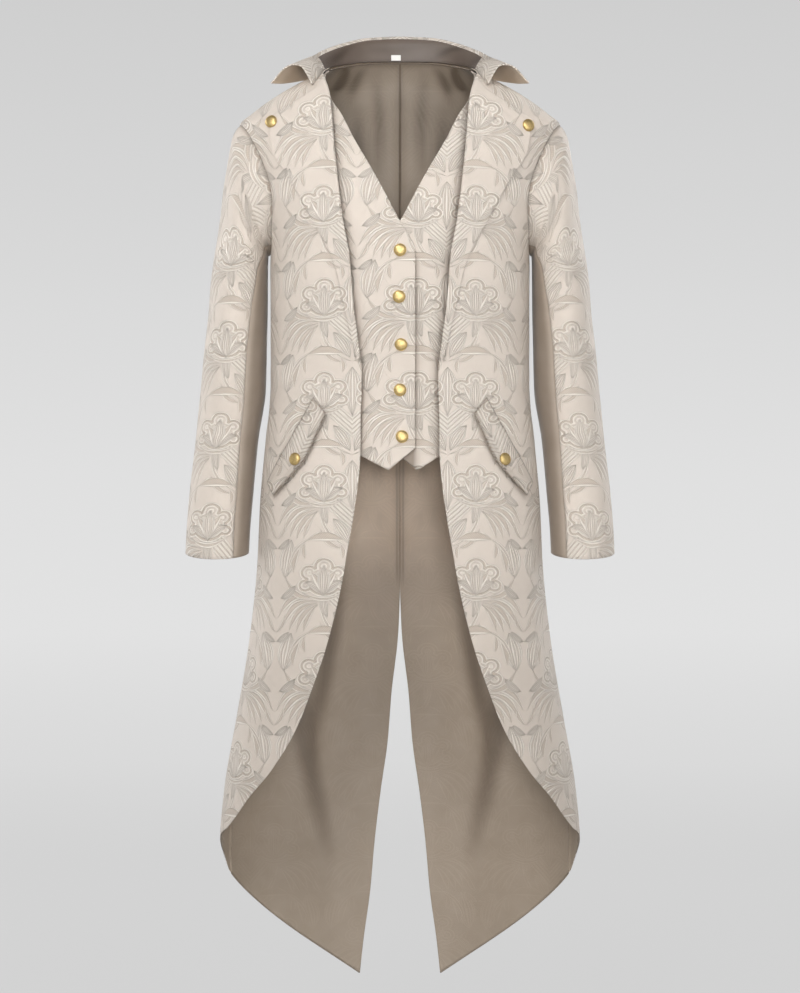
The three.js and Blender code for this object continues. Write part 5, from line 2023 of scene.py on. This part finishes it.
@dataclass
class PocketFlap:
    """A slanting pocket flap that stands off the coat at its free edge."""

    finishes: Finishes
    # sewn edge and free edge, from the front end to the side end
    rows: tuple = (
        (116, -421, 99, -442), (127, -441, 108, -463), (139, -462, 117, -484),
        (152, -485, 127.5, -505), (162.5, -503, 139, -519), (171, -519, 154, -536),
        (178.5, -534.5, 168, -551.5),
    )
    lie: float = 0.6
    lift: float = 3.4
    width: float = 24
    thickness: float = 2.2
    button_along: float = 3.3
    button_across: float = 0.69
    button_gap: float = 0.65
    # degrees the cloth's grain leans, and how far its pattern is set over
    grain: float = 28.8
    pattern: tuple = (120.0, 444.0)

    def shadow(self, x: Array, z: Array) -> Array:
        """The soft shade on the front just outside the flap's free edge, less at the sewn one.

        Args:
            x: distances from the middle.
            z: levels.

        Returns:
            The shade, from 0 to 1.
        """
        table = np.array(self.rows, float)
        sewn, free = table[:, :2], table[:, 2:]
        ends = [np.stack([sewn[k], free[k]]) for k in (0, -1)]
        edges = ((free, 3.2, 0.9), (sewn, 3.0, 0.3), (ends[0], 3.0, 0.3), (ends[1], 3.0, 0.4))
        shade = np.zeros(np.shape(x))
        for edge, reach, most in edges:
            for one, two in zip(edge[:-1], edge[1:]):
                way = two - one
                t = ((x - one[0]) * way[0] + (z - one[1]) * way[1]) / (way @ way)
                t = np.clip(t, 0, 1)
                gap = np.hypot(x - one[0] - t * way[0], z - one[1] - t * way[1])
                shade = np.maximum(shade, most * bell(gap, reach))
        return shade

    def place(self, along: Array, across: Array) -> Array:
        """Points on the flap's outer face.

        Args:
            along: places down the table's rows.
            across: shares from the sewn edge to the free edge.

        Returns:
            Points in millimetres.
        """
        table = np.array(self.rows, float)
        at = np.arange(len(table))
        sx, sz, fx, fz = (np.interp(along, at, table[:, k]) for k in range(4))
        x, z = blended(sx, fx, across), blended(sz, fz, across)
        return BODY.over_front(x, z, self.lie + self.lift * across**1.4 + self.thickness)[0]

    def button_place(self) -> tuple[Vector, Vector]:
        """Where the flap's button stands in millimetres, and the way it faces."""
        s, w = self.button_along, self.button_across

        def point(along: float, across: float) -> Array:
            """A point of the flap's face."""
            return self.place(np.array(along), np.array(across))

        down = point(s + 0.4, w) - point(s - 0.4, w)
        over = point(s, w + 0.3) - point(s, w - 0.3)
        normal = unit(np.cross(down, over))
        normal = -normal if normal[1] > 0 else normal
        return Vector(point(s, w) + normal * self.button_gap), Vector(normal)

    def build(self, side: int) -> None:
        """Makes one flap.

        Args:
            side: 1 for the wearer's left, -1 for the right.
        """
        last = len(self.rows) - 1
        along = (spaced(56, (0.004, 0.01)) * last)[:, None]
        across = spaced(14, (0.03, 0.07))[None, :]
        points = self.place(along + 0 * across, across + 0 * along)
        normals = unit(np.cross(np.gradient(points, axis=0), np.gradient(points, axis=1)))
        normals *= np.sign(-normals[..., 1:2])
        edge = np.minimum(np.minimum(across, 1 - across), np.minimum(along, last - along))
        edge = edge * self.width
        stitched = 0.35 * bell(edge - 5, 1.1)
        slope = np.radians(self.grain)
        x, z = points[..., 0], points[..., 2]
        aside = x * np.cos(slope) + z * np.sin(slope) + self.pattern[0]
        down = z * np.cos(slope) - x * np.sin(slope) + self.pattern[1]
        shade = 0.8 * bell(edge, 1.1) + 0.2 * bell(edge, 5.0)
        shade = 0.1 + np.maximum(shade, 0.6 * stitched)
        grid = ClothGrid(points, normals, np.stack([aside, down], -1)).moved(-stitched)
        Sheet(
            f"pocket_flap_{tag(side)}", Slot.BROCADE, (self.finishes.brocade,) * 2,
            self.thickness, (0.04, 0.135), Held.FOLDED,
        ).sew(grid.shaded(shade), side)


@dataclass
class Buttons:
    """The nine domed brass buttons, modelled once and copied."""

    finishes: Finishes
    flap: PocketFlap
    radius: float = 8.5
    rim: float = 1.6
    segments: int = 48
    waistcoat: tuple = ((0, -224), (-1.3, -286.5), (1.3, -350.5), (0, -410.5), (2.7, -473))
    shoulder: dict = field(default_factory=lambda: {-1: (173, -47.5), 1: (172.4, -52.5)})
    lapel_top: float = 2.4
    seam: float = 0.3
    # each ring of the dome: how much narrower it is, and how much higher
    rings: tuple = (
        (0.98, 0.55), (0.9, 0.62), (0.87, 0.5), (0.83, 0.38), (0.76, 0.26), (0.66, 0.16),
        (0.5, 0.09), (0.25, 0.03),
    )
    ring_scale: float = 0.95

    def _model(self) -> Piece:
        """Models the button about the origin, facing up, to be copied and then removed."""
        bpy.ops.object.select_all(action="DESELECT")
        bpy.ops.mesh.primitive_cylinder_add(
            vertices=self.segments, radius=self.radius * MM, depth=self.rim * MM,
            location=(0, 0, self.rim * MM / 2),
        )
        model = bpy.context.object
        bpy.ops.object.transform_apply(location=True, rotation=True, scale=True)
        bpy.ops.object.mode_set(mode="EDIT")
        bpy.ops.mesh.select_all(action="DESELECT")
        bpy.ops.object.mode_set(mode="OBJECT")
        for face in model.data.polygons:
            face.select = face.normal.z > 0.9
        bpy.ops.object.mode_set(mode="EDIT")
        bpy.ops.mesh.select_mode(type="FACE")
        bpy.ops.mesh.inset(thickness=0.35 * MM, depth=0)
        bpy.ops.mesh.inset(thickness=0.25 * MM, depth=-0.3 * MM)
        for narrower, higher in self.rings:
            bpy.ops.mesh.extrude_region_move(
                TRANSFORM_OT_translate={"value": (0, 0, higher * MM * self.ring_scale)}
            )
            bpy.ops.transform.resize(value=(narrower, narrower, 1))
        bpy.ops.mesh.merge(type="CENTER")
        bpy.ops.object.mode_set(mode="OBJECT")
        bevel = model.modifiers.new("Soft rim", "BEVEL")
        bevel.width = 0.22 * MM
        bevel.segments = 3
        bevel.limit_method = "ANGLE"
        bevel.angle_limit = 0.7
        bpy.ops.object.modifier_apply(modifier=bevel.name)
        bpy.ops.object.shade_smooth_by_angle(angle=0.7)
        return model

    def _stand(self, model: Piece, name: str, point: Vector, facing: Vector) -> None:
        """Stands a copy on the cloth.

        Args:
            model: the modelled button.
            name: the solid's name.
            point: where its back stands, in millimetres.
            facing: the way it faces.
        """
        mesh = model.data.copy()
        turn = Vector((0, 0, 1)).rotation_difference(facing).to_matrix().to_4x4()
        mesh.transform(Matrix.Translation(point * MM) @ turn)
        dressed(linked(name + "_brass", mesh), Slot.BRASS, (self.finishes.brass,), name)

    @staticmethod
    def _over(x: float, z: float, out: float) -> tuple[Vector, Vector]:
        """A place over the coat's front, and the way out there."""
        point, normal = BODY.over_front(np.array(float(x)), np.array(z), out)
        return Vector(point), Vector(normal)

    def build(self, sunk: float) -> None:
        """Makes all nine.

        Args:
            sunk: how deep the right waistcoat front lies under the coat's outside.
        """
        model = self._model()
        for number, (x, z) in enumerate(self.waistcoat, 1):
            point, normal = self._over(x, z, self.seam - sunk)
            self._stand(model, f"button_waistcoat_{number}", point, normal)
        for side, (x, z) in self.shoulder.items():
            mirror = Vector((side, 1, 1))
            places = {"shoulder": self._over(x, z, self.lapel_top + self.seam + 0.15),
                      "pocket": self.flap.button_place()}
            for name, (point, normal) in places.items():
                self._stand(model, f"button_{name}_{tag(side)}", point * mirror, normal * mirror)
        bpy.data.objects.remove(model)


@dataclass(frozen=True)
class Lamp:
    """One soft square lamp: its place and aim, its side in metres, and its watts."""

    name: str
    place: tuple
    aim: tuple
    size: float
    power: float
    # how wide its beam opens, in degrees
    spread: float = 80

    def hang(self) -> None:
        """Hangs the lamp, out of the camera's sight."""
        data = bpy.data.lights.new(self.name, "AREA")
        data.shape = "SQUARE"
        data.size = self.size
        data.energy = self.power
        data.spread = np.radians(self.spread)
        lamp = linked(self.name, data)
        lamp.visible_camera = False
        lamp.location = self.place
        way = Vector(self.aim) - Vector(self.place)
        lamp.rotation_euler = way.to_track_quat("-Z", "Y").to_euler()


@dataclass
class Studio:
    """The camera, the soft lights and the plain pale floor."""

    finishes: Finishes
    distance: float = 4.5
    eye: float = -0.5535
    lens: float = 119.08
    sensor: float = 36
    floor_level: float = -1.32
    rings: tuple = (0.001, 1, 3, 6, 10)
    floor_radius: float = 14.0
    cove: float = 7.0
    rim_steps: int = 13
    around: int = 96
    world: float = 0.3
    lamps: tuple = (
        Lamp("Front", (0.2, -5.0, -0.3), (0, 0, -0.2), 1.1, 6.0, 46),
        Lamp("Key", (-0.95, -2.3, 1.15), (0, 0, -0.3), 1.1, 8),
        Lamp("Fill", (1.9, -3.2, 0.2), (0, 0, -0.5), 1.8, 6),
        Lamp("Rear", (2.4, 2.7, 0.8), (0, 0, -0.5), 1.6, 15),
        Lamp("Rear_fill", (-3.1, 1.9, 0.2), (0, 0, -0.6), 1.8, 15),
    )

    def camera(self) -> None:
        """Makes the camera at the photograph's angle."""
        data = bpy.data.cameras.new("Camera")
        data.lens = self.lens
        data.sensor_width = self.sensor
        camera = linked("Camera", data)
        camera.location = (0, -self.distance, self.eye)
        camera.rotation_euler = (np.pi / 2, 0, 0)
        bpy.context.scene.camera = camera

    def floor(self) -> None:
        """Makes the floor, a wide dish whose far rim curves up."""
        profile = [(r, 0.0) for r in (*self.rings, self.floor_radius)]
        for turn in np.linspace(0, np.pi / 2, self.rim_steps + 1)[1:]:
            rise = self.cove * (1 - np.cos(turn))
            profile.append((self.floor_radius + self.cove * np.sin(turn), rise))
        around = self.around
        angle = np.linspace(0, 2 * np.pi, around, endpoint=False)
        verts = [(r * np.cos(a), r * np.sin(a), h + self.floor_level)
                 for r, h in profile for a in angle]
        faces = []
        for i in range(len(profile) - 1):
            for j in range(around):
                k = (j + 1) % around
                low, high = i * around, (i + 1) * around
                faces.append((high + j, high + k, low + k, low + j))
        mesh = bpy.data.meshes.new("Floor")
        mesh.from_pydata(verts, [], faces)
        mesh.polygons.foreach_set("use_smooth", np.ones(len(faces), bool))
        mesh.update()
        mesh.materials.append(self.finishes.floor)
        piece = linked("Floor", mesh)
        piece.visible_diffuse = False
        piece.visible_shadow = False

    def lights(self) -> None:
        """Hangs the lamps and sets the even light all round."""
        world = bpy.data.worlds.new("Studio")
        world.use_nodes = True
        background = world.node_tree.nodes["Background"]
        background.inputs["Color"].default_value = WHITE
        background.inputs["Strength"].default_value = self.world
        bpy.context.scene.world = world
        bpy.context.scene.view_settings.view_transform = "Standard"
        for lamp in self.lamps:
            lamp.hang()

    def build(self) -> None:
        """Builds the whole studio."""
        self.camera()
        self.floor()
        self.lights()


def main() -> None:
    """Builds the coat, piece by piece, and the studio round it."""
    logging.basicConfig(level=logging.INFO, format="%(message)s")
    finishes = Finishes()
    Studio(finishes).build()
    flap = PocketFlap(finishes)
    for side in (-1, 1):
        BodyPanels(finishes).build(side)
        Sleeve(finishes).build(side)
        Lapel(finishes).build(side)
        flap.build(side)
    waistcoat = Waistcoat(finishes)
    waistcoat.build()
    Collar(finishes).build()
    Buttons(finishes, flap).build(waistcoat.shapes[0].depth)


if __name__ == "__main__":
    main()
